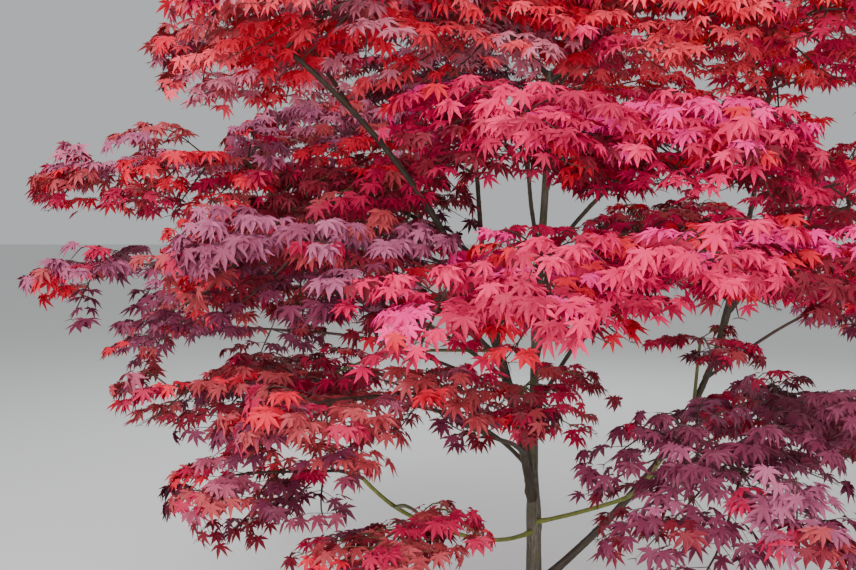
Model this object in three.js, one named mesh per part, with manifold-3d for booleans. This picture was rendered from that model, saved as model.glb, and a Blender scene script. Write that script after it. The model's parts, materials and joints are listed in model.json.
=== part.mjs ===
// A Japanese maple in red autumn leaf, rooted in the ground: a short trunk that forks low,
// long stems, thin arching boughs, and flat tiers of star-shaped foliage at their tips.
// Millimetres, +Z up. The origin is the middle of the flat cut at ground level.
// +X is the crown's right and -Y its front.

import * as THREE from "three";
import { mergeVertices } from "three/addons/utils/BufferGeometryUtils.js";
import Module from "manifold-3d";

const wasm = await Module();
wasm.setup();
const { Manifold } = wasm;

// Trunk
const TRUNK_HEIGHT = 2130; // ground to the upper fork
const TRUNK_LEAN = [48, 40]; // how far the upper fork stands right of and behind the foot
const TRUNK_SWAY = 26; // how far the trunk bends to the left half way up
const TRUNK_FOOT_RADIUS = 30; // above the root flare
const TRUNK_FORK_LOSS = 8.5; // radius given up to the stems at the low fork
const TRUNK_TOP_RADIUS = 11.5;
const LOW_FORK = [470, 680]; // the stretch of height in which the low stems leave
const FLARE_WIDTH = 40; // added to the radius at ground level
const FLARE_HEIGHT = 75; // height in which the flare falls to a third
const FLARE_RIBS = 5; // root ribs in the flare
const RIB_DEPTH = 0.25; // of the flare's width
const TRUNK_SIDES = 15;
const TRUNK_RINGS = [0, 0.012, 0.03, 0.06, 0.1, 0.16, 0.22, 0.27, 0.32, 0.42, 0.55, 0.7, 0.85, 1];

// Stems and boughs
const BOUGH_RADII = [8, 6.5]; // at its base and its tip
const THICK_LIMB = 12; // a limb with a wider base radius has more sides
const THICK_LIMB_SIDES = 7;
const LIMB_SIDES = 5;
const LIMB_STEP = 190; // length of one straight stretch of a bough
const WANDER = 0.012; // how far a limb strays from its arc, as a share of its length
const TOUCH = 0.35; // gap kept where one piece meets another

// Twigs of a foliage mass
const STEM_RADIUS = 7; // of the mass's own stem, where it meets its limb
const SPINE_RADIUS = 5.9; // of that stem at its far end
const STEM_ARCH = 0.06; // how far the stem arches on its way in, as a share of its length
const SPINE_REACH = [-0.45, 0.42]; // where the spine starts and ends, as shares of the long radius
const SPINE_LEVEL = 0.35; // height of the spine, as a share of the upper radius
const SPINE_STRAY = 0.08; // how far its ends stray sideways, as a share of the cross radius
const TWIG_RADIUS = 2.6;
const TWIG_SIDES = 3;
const TWIG_PLACES = [0.36, 0.24]; // where the left and right side twigs leave the spine
const TWIG_REACH = 0.45; // a side twig's length, as a share of the cross radius
const TWIG_ANGLE = 60; // between a side twig and the spine, in degrees

// Leaves. Each stands for a spray.
const LEAF_THICKNESS = 5;
const LEAF_SHARE = 0.66; // a leaf's middle lobe, as a share of its mass's cross radius
const LEAF_LENGTHS = [150, 285]; // the shortest and longest middle lobe
const LEAF_DROOP = 0.2; // how far a lobe's tip hangs, as a share of the leaf's length
const LEAF_ROLL = 0.3; // largest turn of a leaf about its own axis, in radians
const LEAF_TURN = 0.25; // largest turn of a leaf off its place in the pattern, in radians
const LEAF_FLOOR = 330; // no leaf hangs lower than this over the ground
const LEAF_GAP = 0.5; // between a leaf and all but its own twig
const LEAF_TRIES = [1, 0.87, 0.74]; // sizes tried where the full one leaves the space
const STALK_DROP = 0.25; // slope of a leaf's stalk, as a share of its blade's
const ROOT_DEPTH = 6; // how far short of a twig's end a leaf's root is sunk in it
const MOST_LEAVES = 9; // in one mass
const SPARE_TRIES = 24; // places tried for the leaves that the pattern leaves out
const SLIVER = 0.05; // edges shorter than this are merged where pieces are fused

// Slopes tried, as shares of the first, each with its stalk as a share of the leaf's length
const SLOPE_AND_STALK_TRIES = [
  [1, 0.4],
  [0.6, 0.3],
  [1.4, 0.5],
  [0.2, 0.24],
];

// Leaf places along a spine or a twig. share: of its length, with a step between the left and
// right leaf; off: the leaf's heading off the twig's, in radians; drop: its slope in degrees.
const SPINE_FRONT_PAIR = { share: 0.72, step: 0.05, off: 1.15, drop: 44 };
const SPINE_BACK_PAIR = { share: 0.06, step: 0.04, off: 2.3, drop: 40 };
const TWIG_PAIR = { share: 0.55, step: 0.12, off: 1.1, drop: 56 };
const END_DROP = 34; // slope of the leaf at a twig's end, in degrees
const DROP_SPREAD = 12; // most that a slope departs from its pattern, in degrees

// Lobe tips and the notches between them on one side of a leaf, from the middle lobe back:
// the angle from the leaf's axis in degrees, and the distance from the hub as a share of its length.
const HALF_LEAF = [
  [24, 0.4],
  [45, 0.88],
  [68, 0.36],
  [94, 0.62],
];
const LEAF_BASE = [0.12, 0.028]; // back from the hub and half width of the blade's foot, as shares

const COLOURS = {
  bark: 0x5d5a4c,
  young_bark: 0x66704a,
  scarlet: 0xc8323a,
  rose: 0xc64458,
  crimson: 0x9c2438,
  mauve: 0x8e4358,
};

// Stems and boughs. Each is one tapering arc from a place on its parent to its tip.
// at: share of the parent's length; tip: where it ends; bow: how far its middle stands off the
// straight line; radii: at its base and its tip, where they aren't BOUGH_RADII.
const LIMBS = [
  { name: "stem_left", on: "trunk", at: 0.245, tip: [-800, -800, 2060], bow: [150, -20, 60], radii: [16, 7] },
  { name: "stem_right", on: "trunk", at: 0.1, tip: [830, -60, 2130], bow: [210, 40, -170], radii: [16, 7] },
  { name: "stem_back", on: "trunk", at: 0.31, tip: [-230, 880, 2180], bow: [-60, -150, 60], radii: [14, 7] },
  { name: "top_limb_left", on: "trunk", at: 0.995, tip: [-200, 60, 2600], bow: [-60, 0, -40], radii: [9, 6] },
  { name: "top_limb_right", on: "trunk", at: 0.985, tip: [380, 10, 2480], bow: [20, 0, -50] },
  { name: "bough_left_high", on: "trunk", at: 0.6, tip: [-900, -260, 1760], bow: [20, 0, 60], radii: [9, 6] },
  { name: "bough_left_middle", on: "trunk", at: 0.42, tip: [-860, -430, 1360], bow: [40, 0, 90] },
  { name: "bough_left_low", on: "trunk", at: 0.3, tip: [-700, -480, 1040], bow: [60, 10, 60] },
  { name: "bough_ground_left", on: "trunk", at: 0.2, tip: [-600, -620, 790], bow: [-20, -60, -70] },
  { name: "bough_front_low", on: "stem_left", at: 0.12, tip: [-330, -700, 990], bow: [20, -40, 10] },
  { name: "bough_front_left", on: "stem_left", at: 0.36, tip: [-420, -930, 1320], bow: [0, -20, 50] },
  { name: "bough_front_middle", on: "trunk", at: 0.47, tip: [-60, -800, 1400], bow: [20, 0, 60] },
  { name: "bough_front_high", on: "trunk", at: 0.68, tip: [-120, -520, 1820], bow: [0, 0, 40] },
  { name: "bough_right_high", on: "trunk", at: 0.66, tip: [250, -560, 1780], bow: [20, 0, 40] },
  { name: "bough_right_middle", on: "trunk", at: 0.4, tip: [180, -780, 1450], bow: [20, 20, 80] },
  { name: "bough_right_front", on: "stem_right", at: 0.5, tip: [500, -740, 1430], bow: [20, 0, 60] },
  { name: "bough_ground_right", on: "trunk", at: 0.215, tip: [260, -830, 900], bow: [90, 20, -30] },
  { name: "bough_right_far", on: "stem_right", at: 0.62, tip: [1200, 120, 1640], bow: [0, 0, 50] },
  { name: "bough_back_left", on: "stem_back", at: 0.4, tip: [-820, 820, 1480], bow: [0, 0, 80] },
  { name: "bough_back_right", on: "stem_back", at: 0.3, tip: [520, 850, 1520], bow: [0, 0, 80] },
];

// Masses of foliage, by colour. Each keeps to a flattened ellipsoid: centre; radii along its spine,
// across it and up; turn: the spine's heading in degrees, from +X towards +Y. on and at say which
// limb its stem leaves, and where.
const MASSES = {
  scarlet: [
    { name: "tier_left_high", on: "bough_left_high", at: 1,
      centre: [-1225, -330, 1715], radii: [480, 340, 180], turn: 188 },
    { name: "tier_left_low", on: "bough_left_low", at: 1,
      centre: [-950, -640, 1045], radii: [380, 330, 150], turn: 205 },
    { name: "skirt_left", on: "bough_ground_left", at: 1,
      centre: [-840, -800, 790], radii: [320, 270, 190], turn: 215 },
    { name: "crown_inner_back", on: "stem_back", at: 0.7,
      centre: [-780, 380, 1850], radii: [520, 430, 230], turn: 185 },
    { name: "crown_right", on: "stem_right", at: 0.8,
      centre: [1010, -130, 1990], radii: [430, 360, 240], turn: 345 },
    { name: "crown_top", on: "top_limb_left", at: 1,
      centre: [-120, -20, 2900], radii: [480, 440, 270], turn: 60 },
    { name: "crown_far_right", on: "bough_right_far", at: 1,
      centre: [1400, 220, 1690], radii: [470, 430, 230], turn: 10 },
    { name: "tier_back_left", on: "bough_back_left", at: 1,
      centre: [-1080, 900, 1480], radii: [520, 480, 220], turn: 155 },
    { name: "crown_back_right", on: "stem_back", at: 0.86,
      centre: [470, 1020, 2130], radii: [540, 480, 240], turn: 40 },
  ],
  rose: [
    { name: "tier_front_left", on: "bough_front_left", at: 1,
      centre: [-385, -1230, 1315], radii: [320, 250, 175], turn: 265 },
    { name: "tier_front_middle", on: "bough_front_middle", at: 1,
      centre: [-120, -1180, 1400], radii: [370, 280, 190], turn: 268 },
    { name: "tier_front_high", on: "bough_front_high", at: 1,
      centre: [-150, -860, 1790], radii: [420, 370, 190], turn: 265 },
    { name: "tier_right_high", on: "bough_right_high", at: 1,
      centre: [300, -880, 1760], radii: [430, 400, 180], turn: 290 },
    { name: "tier_right_middle", on: "bough_right_middle", at: 1,
      centre: [210, -1130, 1455], radii: [410, 330, 155], turn: 280 },
    { name: "tier_right_front", on: "bough_right_front", at: 1,
      centre: [620, -1100, 1430], radii: [430, 360, 165], turn: 300 },
    { name: "tier_right_edge", on: "stem_right", at: 0.68,
      centre: [900, -660, 1640], radii: [440, 370, 180], turn: 305 },
    { name: "crown_front_right", on: "trunk", at: 0.95,
      centre: [300, -500, 2170], radii: [470, 380, 220], turn: 300 },
    { name: "crown_right_front", on: "stem_right", at: 0.93,
      centre: [760, -560, 2150], radii: [450, 380, 210], turn: 280 },
  ],
  crimson: [
    { name: "tuft_trunk", on: "trunk", at: 0.33,
      centre: [-80, -420, 960], radii: [320, 280, 190], turn: 260 },
    { name: "crown_inner_left", on: "stem_left", at: 0.52,
      centre: [-640, -300, 1580], radii: [430, 380, 210], turn: 170 },
    { name: "skirt_front", on: "bough_ground_left", at: 0.8,
      centre: [-500, -950, 680], radii: [330, 280, 160], turn: 250 },
    { name: "skirt_right_front", on: "bough_ground_right", at: 1,
      centre: [330, -1160, 880], radii: [420, 370, 220], turn: 285 },
    { name: "skirt_right", on: "stem_right", at: 0.36,
      centre: [790, -780, 970], radii: [430, 370, 200], turn: 310 },
    { name: "tuft_right", on: "stem_right", at: 0.45,
      centre: [520, -340, 1140], radii: [240, 200, 110], turn: 260, leaves: 5 },
    { name: "tier_far_right_low", on: "stem_right", at: 0.5,
      centre: [1400, 60, 1230], radii: [400, 380, 190], turn: 355 },
    { name: "tier_back_right", on: "bough_back_right", at: 1,
      centre: [760, 1070, 1480], radii: [530, 480, 220], turn: 50 },
    { name: "skirt_back_left", on: "stem_back", at: 0.25,
      centre: [-1050, 720, 850], radii: [430, 400, 190], turn: 145 },
    { name: "skirt_back_right", on: "stem_right", at: 0.22,
      centre: [1190, 600, 700], radii: [430, 400, 190], turn: 30 },
  ],
  mauve: [
    { name: "tier_left_middle", on: "bough_left_middle", at: 1,
      centre: [-1165, -560, 1385], radii: [460, 340, 160], turn: 192 },
    { name: "tier_left_front", on: "stem_left", at: 0.62,
      centre: [-700, -950, 1430], radii: [430, 380, 200], turn: 232 },
    { name: "tuft_left_back", on: "stem_back", at: 0.16,
      centre: [-1150, -30, 1120], radii: [400, 320, 180], turn: 182 },
    { name: "tier_front_low", on: "bough_front_low", at: 1,
      centre: [-560, -1010, 1050], radii: [430, 350, 170], turn: 225 },
    { name: "crown_left_tip", on: "stem_left", at: 0.86,
      centre: [-960, -420, 2075], radii: [390, 350, 190], turn: 160 },
    { name: "crown_front_left", on: "stem_left", at: 1,
      centre: [-690, -980, 2120], radii: [420, 400, 200], turn: 225 },
    { name: "crown_front", on: "trunk", at: 0.93,
      centre: [-240, -500, 2180], radii: [470, 400, 220], turn: 240 },
    { name: "crown_top_left", on: "top_limb_left", at: 0.75,
      centre: [-600, -20, 2510], radii: [520, 470, 250], turn: 175 },
    { name: "crown_top_right", on: "top_limb_right", at: 1,
      centre: [560, -60, 2560], radii: [520, 460, 250], turn: 350 },
    { name: "crown_top_back", on: "top_limb_left", at: 0.6,
      centre: [-20, 500, 2520], radii: [520, 460, 250], turn: 80 },
    { name: "crown_back_left", on: "stem_back", at: 1,
      centre: [-430, 1110, 2170], radii: [540, 480, 240], turn: 120 },
  ],
};

const UP = new THREE.Vector3(0, 0, 1);
const RIGHT = new THREE.Vector3(1, 0, 0);
const HANDS = [1, -1]; // left and right of a twig
const vector = (list) => new THREE.Vector3(...list);
const radians = THREE.MathUtils.degToRad;
const evenly = (count) => Array.from({ length: count + 1 }, (_, i) => i / count);

/** A direction at a heading from +X towards +Y, sloping down by an angle, both in radians. */
function sloping(heading, drop) {
  const level = Math.cos(drop);
  return new THREE.Vector3(Math.cos(heading) * level, Math.sin(heading) * level, -Math.sin(drop));
}

/** A repeatable stream of numbers from 0 to 1, seeded by a name. */
function dice(name) {
  let state = 2166136261;
  for (const letter of name) state = Math.imul(state ^ letter.charCodeAt(0), 16777619) >>> 0;
  return () => {
    state = (Math.imul(state, 1664525) + 1013904223) >>> 0;
    return state / 4294967296;
  };
}

/** The trunk's centre line. It stands upright at ground level, so its cut there is level. */
class TrunkCurve extends THREE.Curve {
  getPoint(t, target = new THREE.Vector3()) {
    const lean = THREE.MathUtils.smoothstep(t, 0, 1);
    const sway = TRUNK_SWAY * Math.sin(Math.PI * t) ** 2;
    return target.set(TRUNK_LEAN[0] * lean - sway, TRUNK_LEAN[1] * lean, TRUNK_HEIGHT * t);
  }
}

/** The centre line of a limb: a straight line with a bow and a small seeded wander. */
class LimbCurve extends THREE.Curve {
  constructor(name, start, tip, bow) {
    super();
    Object.assign(this, { start, tip, bow });
    const roll = dice(name);
    const stray = 4 * WANDER * start.distanceTo(tip);
    const offset = () => new THREE.Vector3(roll() - 0.5, roll() - 0.5, roll() - 0.5);
    this.waves = [2, 3].map((count) => ({ count, size: offset().multiplyScalar(stray / count) }));
  }
  getPoint(t, target = new THREE.Vector3()) {
    target.lerpVectors(this.start, this.tip, t).addScaledVector(this.bow, 4 * t * (1 - t));
    for (const { count, size } of this.waves) target.addScaledVector(size, Math.sin(Math.PI * count * t));
    return target;
  }
}

/** A closed tube through rings of points, each ring with the same count, with flat ends. */
function skin(rings) {
  const count = rings[0].length;
  const last = rings.length - 1;
  const places = rings.flat().flatMap((p) => [p.x, p.y, p.z]);
  const faces = [];
  for (let ring = 0; ring < last; ring++)
    for (let side = 0; side < count; side++) {
      const a = ring * count + side;
      const b = ring * count + ((side + 1) % count);
      faces.push(a, b, b + count, a, b + count, a + count);
    }
  for (let side = 1; side < count - 1; side++) {
    faces.push(0, side + 1, side);
    faces.push(last * count, last * count + side, last * count + side + 1);
  }
  return new THREE.BufferGeometry()
    .setAttribute("position", new THREE.Float32BufferAttribute(places, 3))
    .setIndex(faces);
}

/** A tapering tube along a curve, grown by a margin all over and at both ends. */
function tube(curve, shares, radiusAt, sides, margin = 0) {
  const rings = shares.map((share, i) => {
    const along = curve.getTangent(share).normalize();
    const across = new THREE.Vector3().crossVectors(along, Math.abs(along.x) > 0.9 ? UP : RIGHT);
    across.normalize();
    const other = new THREE.Vector3().crossVectors(along, across);
    const centre = curve.getPoint(share);
    if (i === 0) centre.addScaledVector(along, -margin);
    if (i === shares.length - 1) centre.addScaledVector(along, margin);
    return Array.from({ length: sides }, (_, side) => {
      const angle = (2 * Math.PI * side) / sides;
      const radius = radiusAt(share, angle) + margin;
      return centre
        .clone()
        .addScaledVector(across, Math.cos(angle) * radius)
        .addScaledVector(other, Math.sin(angle) * radius);
    });
  });
  return skin(rings);
}

/** Turns a closed geometry into a solid that can be joined and cut. */
function solid(geometry) {
  const merged = mergeVertices(geometry, 1e-3);
  const mesh = new wasm.Mesh({
    numProp: 3,
    vertProperties: new Float32Array(merged.attributes.position.array),
    triVerts: new Uint32Array(merged.index.array),
  });
  mesh.merge();
  return new Manifold(mesh);
}

/** Turns a solid back into a geometry. */
function geometryOf(shape) {
  const mesh = shape.getMesh();
  return new THREE.BufferGeometry()
    .setAttribute("position", new THREE.BufferAttribute(mesh.vertProperties, 3))
    .setIndex(new THREE.BufferAttribute(mesh.triVerts, 1));
}

/** The largest body of a solid: loose scraps are dropped. */
function largest(shape) {
  return shape.decompose().sort((a, b) => b.volume() - a.volume())[0];
}

/** The trunk's radius at a share of its height and an angle round it. */
function trunkRadius(share, angle) {
  const height = share * TRUNK_HEIGHT;
  const taper = THREE.MathUtils.lerp(TRUNK_FOOT_RADIUS, TRUNK_TOP_RADIUS + TRUNK_FORK_LOSS, share);
  const forked = TRUNK_FORK_LOSS * THREE.MathUtils.smoothstep(height, ...LOW_FORK);
  const flare = FLARE_WIDTH * Math.exp(-height / FLARE_HEIGHT);
  return taper - forked + flare * (1 - RIB_DEPTH + RIB_DEPTH * Math.cos(FLARE_RIBS * angle));
}

/** A tapering limb: its tube, and a slightly grown one that others are cut by. */
class Limb {
  constructor(curve, shares, radiusAt, sides) {
    Object.assign(this, { curve, shares });
    const make = (margin) => solid(tube(curve, shares, radiusAt, sides, margin));
    this.solid = make(0);
    this.keepOff = make(TOUCH);
  }
  /** A point on the middle line of the tube's straight stretches. */
  spot(share) {
    const next = Math.max(1, this.shares.findIndex((end) => end >= share));
    const [from, to] = [this.shares[next - 1], this.shares[next]];
    const start = this.curve.getPoint(from);
    return start.lerp(this.curve.getPoint(to), (share - from) / (to - from));
  }
}

/** Builds the trunk and every limb, each cut clear of those before it. */
function growLimbs() {
  const trunk = new Limb(new TrunkCurve(), TRUNK_RINGS, trunkRadius, TRUNK_SIDES);
  const grown = new Map([["trunk", trunk]]);
  for (const { name, on, at, tip, bow, radii = BOUGH_RADII } of LIMBS) {
    const curve = new LimbCurve(name, grown.get(on).spot(at), vector(tip), vector(bow));
    const shares = evenly(Math.round(curve.getLength() / LIMB_STEP));
    const sides = radii[0] > THICK_LIMB ? THICK_LIMB_SIDES : LIMB_SIDES;
    const limb = new Limb(curve, shares, (share) => THREE.MathUtils.lerp(...radii, share), sides);
    for (const other of grown.values()) limb.solid = limb.solid.subtract(other.keepOff);
    limb.solid = largest(limb.solid);
    grown.set(name, limb);
  }
  for (const limb of grown.values()) limb.box = limb.solid.boundingBox();
  return grown;
}

/**
 * A leaf with five lobes as a thin closed shell, thickest at its hub and drawn out along a stalk
 * to its root.
 */
function leafShell(root, hub, ahead, normal, length) {
  const side = new THREE.Vector3().crossVectors(normal, ahead);
  const back = root.clone().sub(hub).normalize();
  const lobePoint = ([angle, far], hand) =>
    hub
      .clone()
      .addScaledVector(ahead, Math.cos(radians(angle)) * far * length)
      .addScaledVector(side, Math.sin(radians(angle)) * far * length * hand)
      .addScaledVector(normal, -LEAF_DROOP * far * far * length);
  const basePoint = (hand) =>
    hub
      .clone()
      .addScaledVector(back, LEAF_BASE[0] * length)
      .addScaledVector(side, LEAF_BASE[1] * length * hand);
  const right = HALF_LEAF.map((point) => lobePoint(point, 1));
  const left = HALF_LEAF.map((point) => lobePoint(point, -1)).reverse();
  const rim = [basePoint(-1), ...left, lobePoint([0, 1], 1), ...right, basePoint(1), root];
  const top = hub.clone().addScaledVector(normal, LEAF_THICKNESS / 2);
  const bottom = hub.clone().addScaledVector(normal, -LEAF_THICKNESS / 2);
  const places = rim.flatMap((point, i) => {
    const next = rim[(i + 1) % rim.length];
    return [top, point, next, bottom, next, point].flatMap((corner) => corner.toArray());
  });
  const geometry = new THREE.BufferGeometry();
  geometry.setAttribute("position", new THREE.Float32BufferAttribute(places, 3));
  return { shape: solid(geometry), tips: rim.slice(0, -1) };
}

/** The space that a mass keeps to: an ellipsoid, told by how far out of it a point lies. */
class Space {
  constructor({ centre, radii, turn }) {
    this.centre = vector(centre);
    this.radii = radii;
    this.ahead = new THREE.Vector3(Math.cos(radians(turn)), Math.sin(radians(turn)), 0);
    this.side = new THREE.Vector3().crossVectors(UP, this.ahead);
  }
  /** 0 at the centre, 1 on the surface. */
  depth(point) {
    const from = point.clone().sub(this.centre);
    const [a, b, c] = this.radii;
    return Math.hypot(from.dot(this.ahead) / a, from.dot(this.side) / b, from.z / c);
  }
  /** A point at shares of the radii from the centre. */
  place(along, across, up) {
    return this.centre
      .clone()
      .addScaledVector(this.ahead, along * this.radii[0])
      .addScaledVector(this.side, across * this.radii[1])
      .addScaledVector(UP, up * this.radii[2]);
  }
}

/** A straight twig, or the straight end of a stem, that leaves and other twigs grow from. */
class Twig {
  constructor(start, end, shape) {
    Object.assign(this, { start, end });
    this.length = start.distanceTo(end);
    this.heading = Math.atan2(end.y - start.y, end.x - start.x);
    const line = new THREE.LineCurve3(start, end);
    this.solid = shape ?? solid(tube(line, [0, 1], () => TWIG_RADIUS, TWIG_SIDES));
  }
  /** A point on its middle line, always a root's depth short of its end. */
  spot(share) {
    return this.start.clone().lerp(this.end, Math.min(share, 1 - ROOT_DEPTH / this.length));
  }
}

/** Grows one mass: a stem, side twigs, and leaves that stay in its space and off all else. */
class FoliageMass {
  constructor(mass, limbs, spaces, taken) {
    Object.assign(this, { mass, spaces, limbs, taken });
    this.space = spaces.get(mass.name);
    this.roll = dice(mass.name);
    this.pieces = [];
    this.twigs = [];
    this.leavesLeft = mass.leaves ?? MOST_LEAVES;
    this.leafLength = THREE.MathUtils.clamp(LEAF_SHARE * mass.radii[1], ...LEAF_LENGTHS);
    this.growStem(limbs.get(mass.on).spot(mass.at));
  }

  /** A number near a middle value, up to a spread either side. */
  near(middle, spread) {
    return middle + (2 * this.roll() - 1) * spread;
  }

  /** True if a shape meets no limb, twig or leaf but the twig that it grows from. */
  clear(shape, parent) {
    const { min, max } = shape.boundingBox();
    const apart = ({ box }) => [0, 1, 2].some((i) => box.min[i] > max[i] + 1 || box.max[i] < min[i] - 1);
    const free = (other) => apart(other) || shape.minGap(other.solid, LEAF_GAP) >= LEAF_GAP;
    const others = [...this.limbs.values(), ...this.taken];
    return others.every((other) => other.solid === parent || free(other));
  }

  /** True if every point lies in the mass's space and no deeper in a neighbour's. */
  within(points) {
    return points.every((point) => {
      const own = this.space.depth(point);
      if (own > 1 || point.z < LEAF_FLOOR) return false;
      return [...this.spaces.values()].every((space) => space.depth(point) >= own);
    });
  }

  keep(shape) {
    this.pieces.push(shape);
    this.taken.push({ solid: shape, box: shape.boundingBox() });
  }

  /** The stem: from the limb into the space, and along it as the mass's spine. */
  growStem(start) {
    const [heart, tip] = SPINE_REACH.map((reach) =>
      this.space.place(reach, this.near(0, SPINE_STRAY), SPINE_LEVEL),
    );
    const middle = start.clone().lerp(heart, 0.55);
    middle.z += STEM_ARCH * start.distanceTo(heart);
    const line = new THREE.CurvePath();
    line.add(new THREE.LineCurve3(start, middle));
    line.add(new THREE.LineCurve3(middle, heart));
    line.add(new THREE.LineCurve3(heart, tip));
    const lengths = line.getCurveLengths();
    const shares = [0, ...lengths.map((length) => length / lengths[2])];
    shares[2] += 0.001; // so that the ring at the heart stands square to the spine
    const radiusAt = (share) => THREE.MathUtils.lerp(STEM_RADIUS, SPINE_RADIUS, share);
    let stem = solid(tube(line, shares, radiusAt, TWIG_SIDES));
    for (const limb of this.limbs.values()) stem = stem.subtract(limb.keepOff);
    this.spine = new Twig(heart, tip, largest(stem));
    this.keep(this.spine.solid);
  }

  /** Adds a leaf with its root sunk in a twig, if it stays in the space and off all else. */
  addLeaf(twig, share, heading, drop, length, stalk) {
    const root = twig.spot(share);
    const hub = root.clone().addScaledVector(sloping(heading, STALK_DROP * drop), stalk);
    const ahead = sloping(heading, drop);
    const normal = sloping(heading, drop - Math.PI / 2);
    normal.applyAxisAngle(ahead, this.near(0, LEAF_ROLL));
    const { shape, tips } = leafShell(root, hub, ahead, normal, length);
    if (!this.within(tips) || !this.clear(shape, twig.solid)) return false;
    this.keep(shape);
    this.leavesLeft -= 1;
    return true;
  }

  /** Adds a leaf, trying smaller ones and other slopes and stalks where the first doesn't fit. */
  fitLeaf(twig, share, heading, drop) {
    if (this.leavesLeft < 1) return false;
    for (const size of LEAF_TRIES)
      for (const [slope, stalk] of SLOPE_AND_STALK_TRIES) {
        const length = this.leafLength * size;
        const turned = heading + this.near(0, LEAF_TURN);
        if (this.addLeaf(twig, share, turned, radians(drop * slope), length, length * stalk)) return true;
      }
    return false;
  }

  /** A leaf on each hand of a twig. */
  addPair(twig, { share, step, off, drop }) {
    for (const hand of HANDS) {
      const heading = twig.heading + hand * off;
      this.fitLeaf(twig, share + hand * step, heading, this.near(drop, DROP_SPREAD));
    }
  }

  /** A side twig from the spine, with a leaf at its end. */
  addTwig(share, hand) {
    const start = this.spine.spot(share);
    const heading = this.spine.heading + hand * radians(this.near(TWIG_ANGLE, 8));
    const towards = sloping(heading, this.near(0.1, 0.15));
    const end = start.clone().addScaledVector(towards, TWIG_REACH * this.mass.radii[1]);
    const twig = new Twig(start, end);
    if (!this.within([end]) || !this.clear(twig.solid, this.spine.solid)) return;
    if (!this.fitLeaf(twig, 1, heading, this.near(END_DROP, DROP_SPREAD))) return;
    this.keep(twig.solid);
    this.twigs.push(twig);
  }

  /** Adds leaves at seeded places until the mass has enough or the tries run out. */
  addSpares() {
    const bearers = [this.spine, ...this.twigs];
    for (let spare = 0; spare < SPARE_TRIES; spare++) {
      const twig = bearers[spare % bearers.length];
      const hand = this.roll() < 0.5 ? 1 : -1;
      const heading = twig.heading + hand * this.near(1.5, 0.7);
      this.fitLeaf(twig, this.near(0.5, 0.4), heading, this.near(48, 22));
    }
  }

  /** The whole mass, as one body. */
  grow() {
    const { spine } = this;
    this.fitLeaf(spine, 1, spine.heading, this.near(END_DROP, DROP_SPREAD));
    HANDS.forEach((hand, i) => this.addTwig(TWIG_PLACES[i], hand));
    this.addPair(spine, SPINE_FRONT_PAIR);
    this.addPair(spine, SPINE_BACK_PAIR);
    for (const twig of this.twigs) this.addPair(twig, TWIG_PAIR);
    this.addSpares();
    return largest(Manifold.union(this.pieces).asOriginal().simplify(SLIVER));
  }
}

/** Makes a named mesh with its own material. */
function meshOf(name, shape, colour) {
  const material = new THREE.MeshStandardMaterial({ color: colour, roughness: 0.7, metalness: 0 });
  const mesh = new THREE.Mesh(geometryOf(shape), material);
  mesh.name = name;
  return mesh;
}

const tree = new THREE.Group();
const limbs = growLimbs();
for (const [name, limb] of limbs)
  tree.add(meshOf(name, limb.solid, name === "trunk" ? COLOURS.bark : COLOURS.young_bark));

const rows = Object.values(MASSES).flat();
const spaces = new Map(rows.map((mass) => [mass.name, new Space(mass)]));
const taken = [];
const foliage = rows.map((mass) => new FoliageMass(mass, limbs, spaces, taken));
for (const grown of foliage) {
  const colour = Object.keys(MASSES).find((tint) => MASSES[tint].includes(grown.mass));
  tree.add(meshOf(grown.mass.name, grown.grow(), COLOURS[colour]));
}

export default tree;
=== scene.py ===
"""Looks of a Japanese maple in red autumn leaf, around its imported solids.

Metres, +Z up. The origin is the middle of the flat cut under the trunk at ground level, +X is the
crown's right and -Y its front. Bark skins replace the trunk and every limb. Each mass of foliage
is grown again from its limb by the solids' rule, and on to finer twigs and leaves of life size.
"""

from __future__ import annotations

import json
import logging
import math
from dataclasses import dataclass, field, replace
from enum import Enum
from typing import Iterable, Sequence

import bpy
import numpy as np
from mathutils import Matrix, Vector

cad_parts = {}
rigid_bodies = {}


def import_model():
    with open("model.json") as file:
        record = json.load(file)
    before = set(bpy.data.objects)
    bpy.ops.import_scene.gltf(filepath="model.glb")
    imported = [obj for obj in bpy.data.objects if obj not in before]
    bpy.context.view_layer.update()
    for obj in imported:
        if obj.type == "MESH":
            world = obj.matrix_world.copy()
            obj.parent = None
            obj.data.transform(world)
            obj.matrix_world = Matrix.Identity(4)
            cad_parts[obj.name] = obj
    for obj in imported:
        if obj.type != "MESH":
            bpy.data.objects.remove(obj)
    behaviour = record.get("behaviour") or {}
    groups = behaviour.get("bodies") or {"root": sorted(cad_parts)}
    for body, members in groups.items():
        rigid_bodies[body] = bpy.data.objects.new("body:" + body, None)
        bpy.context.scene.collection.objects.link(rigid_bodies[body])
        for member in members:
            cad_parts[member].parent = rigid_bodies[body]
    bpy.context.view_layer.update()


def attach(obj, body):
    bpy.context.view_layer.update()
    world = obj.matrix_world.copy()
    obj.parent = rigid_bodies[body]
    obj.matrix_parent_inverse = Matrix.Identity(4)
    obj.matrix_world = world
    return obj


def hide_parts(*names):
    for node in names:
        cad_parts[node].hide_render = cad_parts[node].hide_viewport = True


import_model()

log = logging.getLogger("maple")

Span = tuple[float, float]
Triple = tuple[float, float, float]
Colour = tuple[float, float, float, float]
Face = tuple[int, int, int]
Mesh = tuple[np.ndarray, np.ndarray]
SlottedMesh = tuple[np.ndarray, np.ndarray, np.ndarray]

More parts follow.
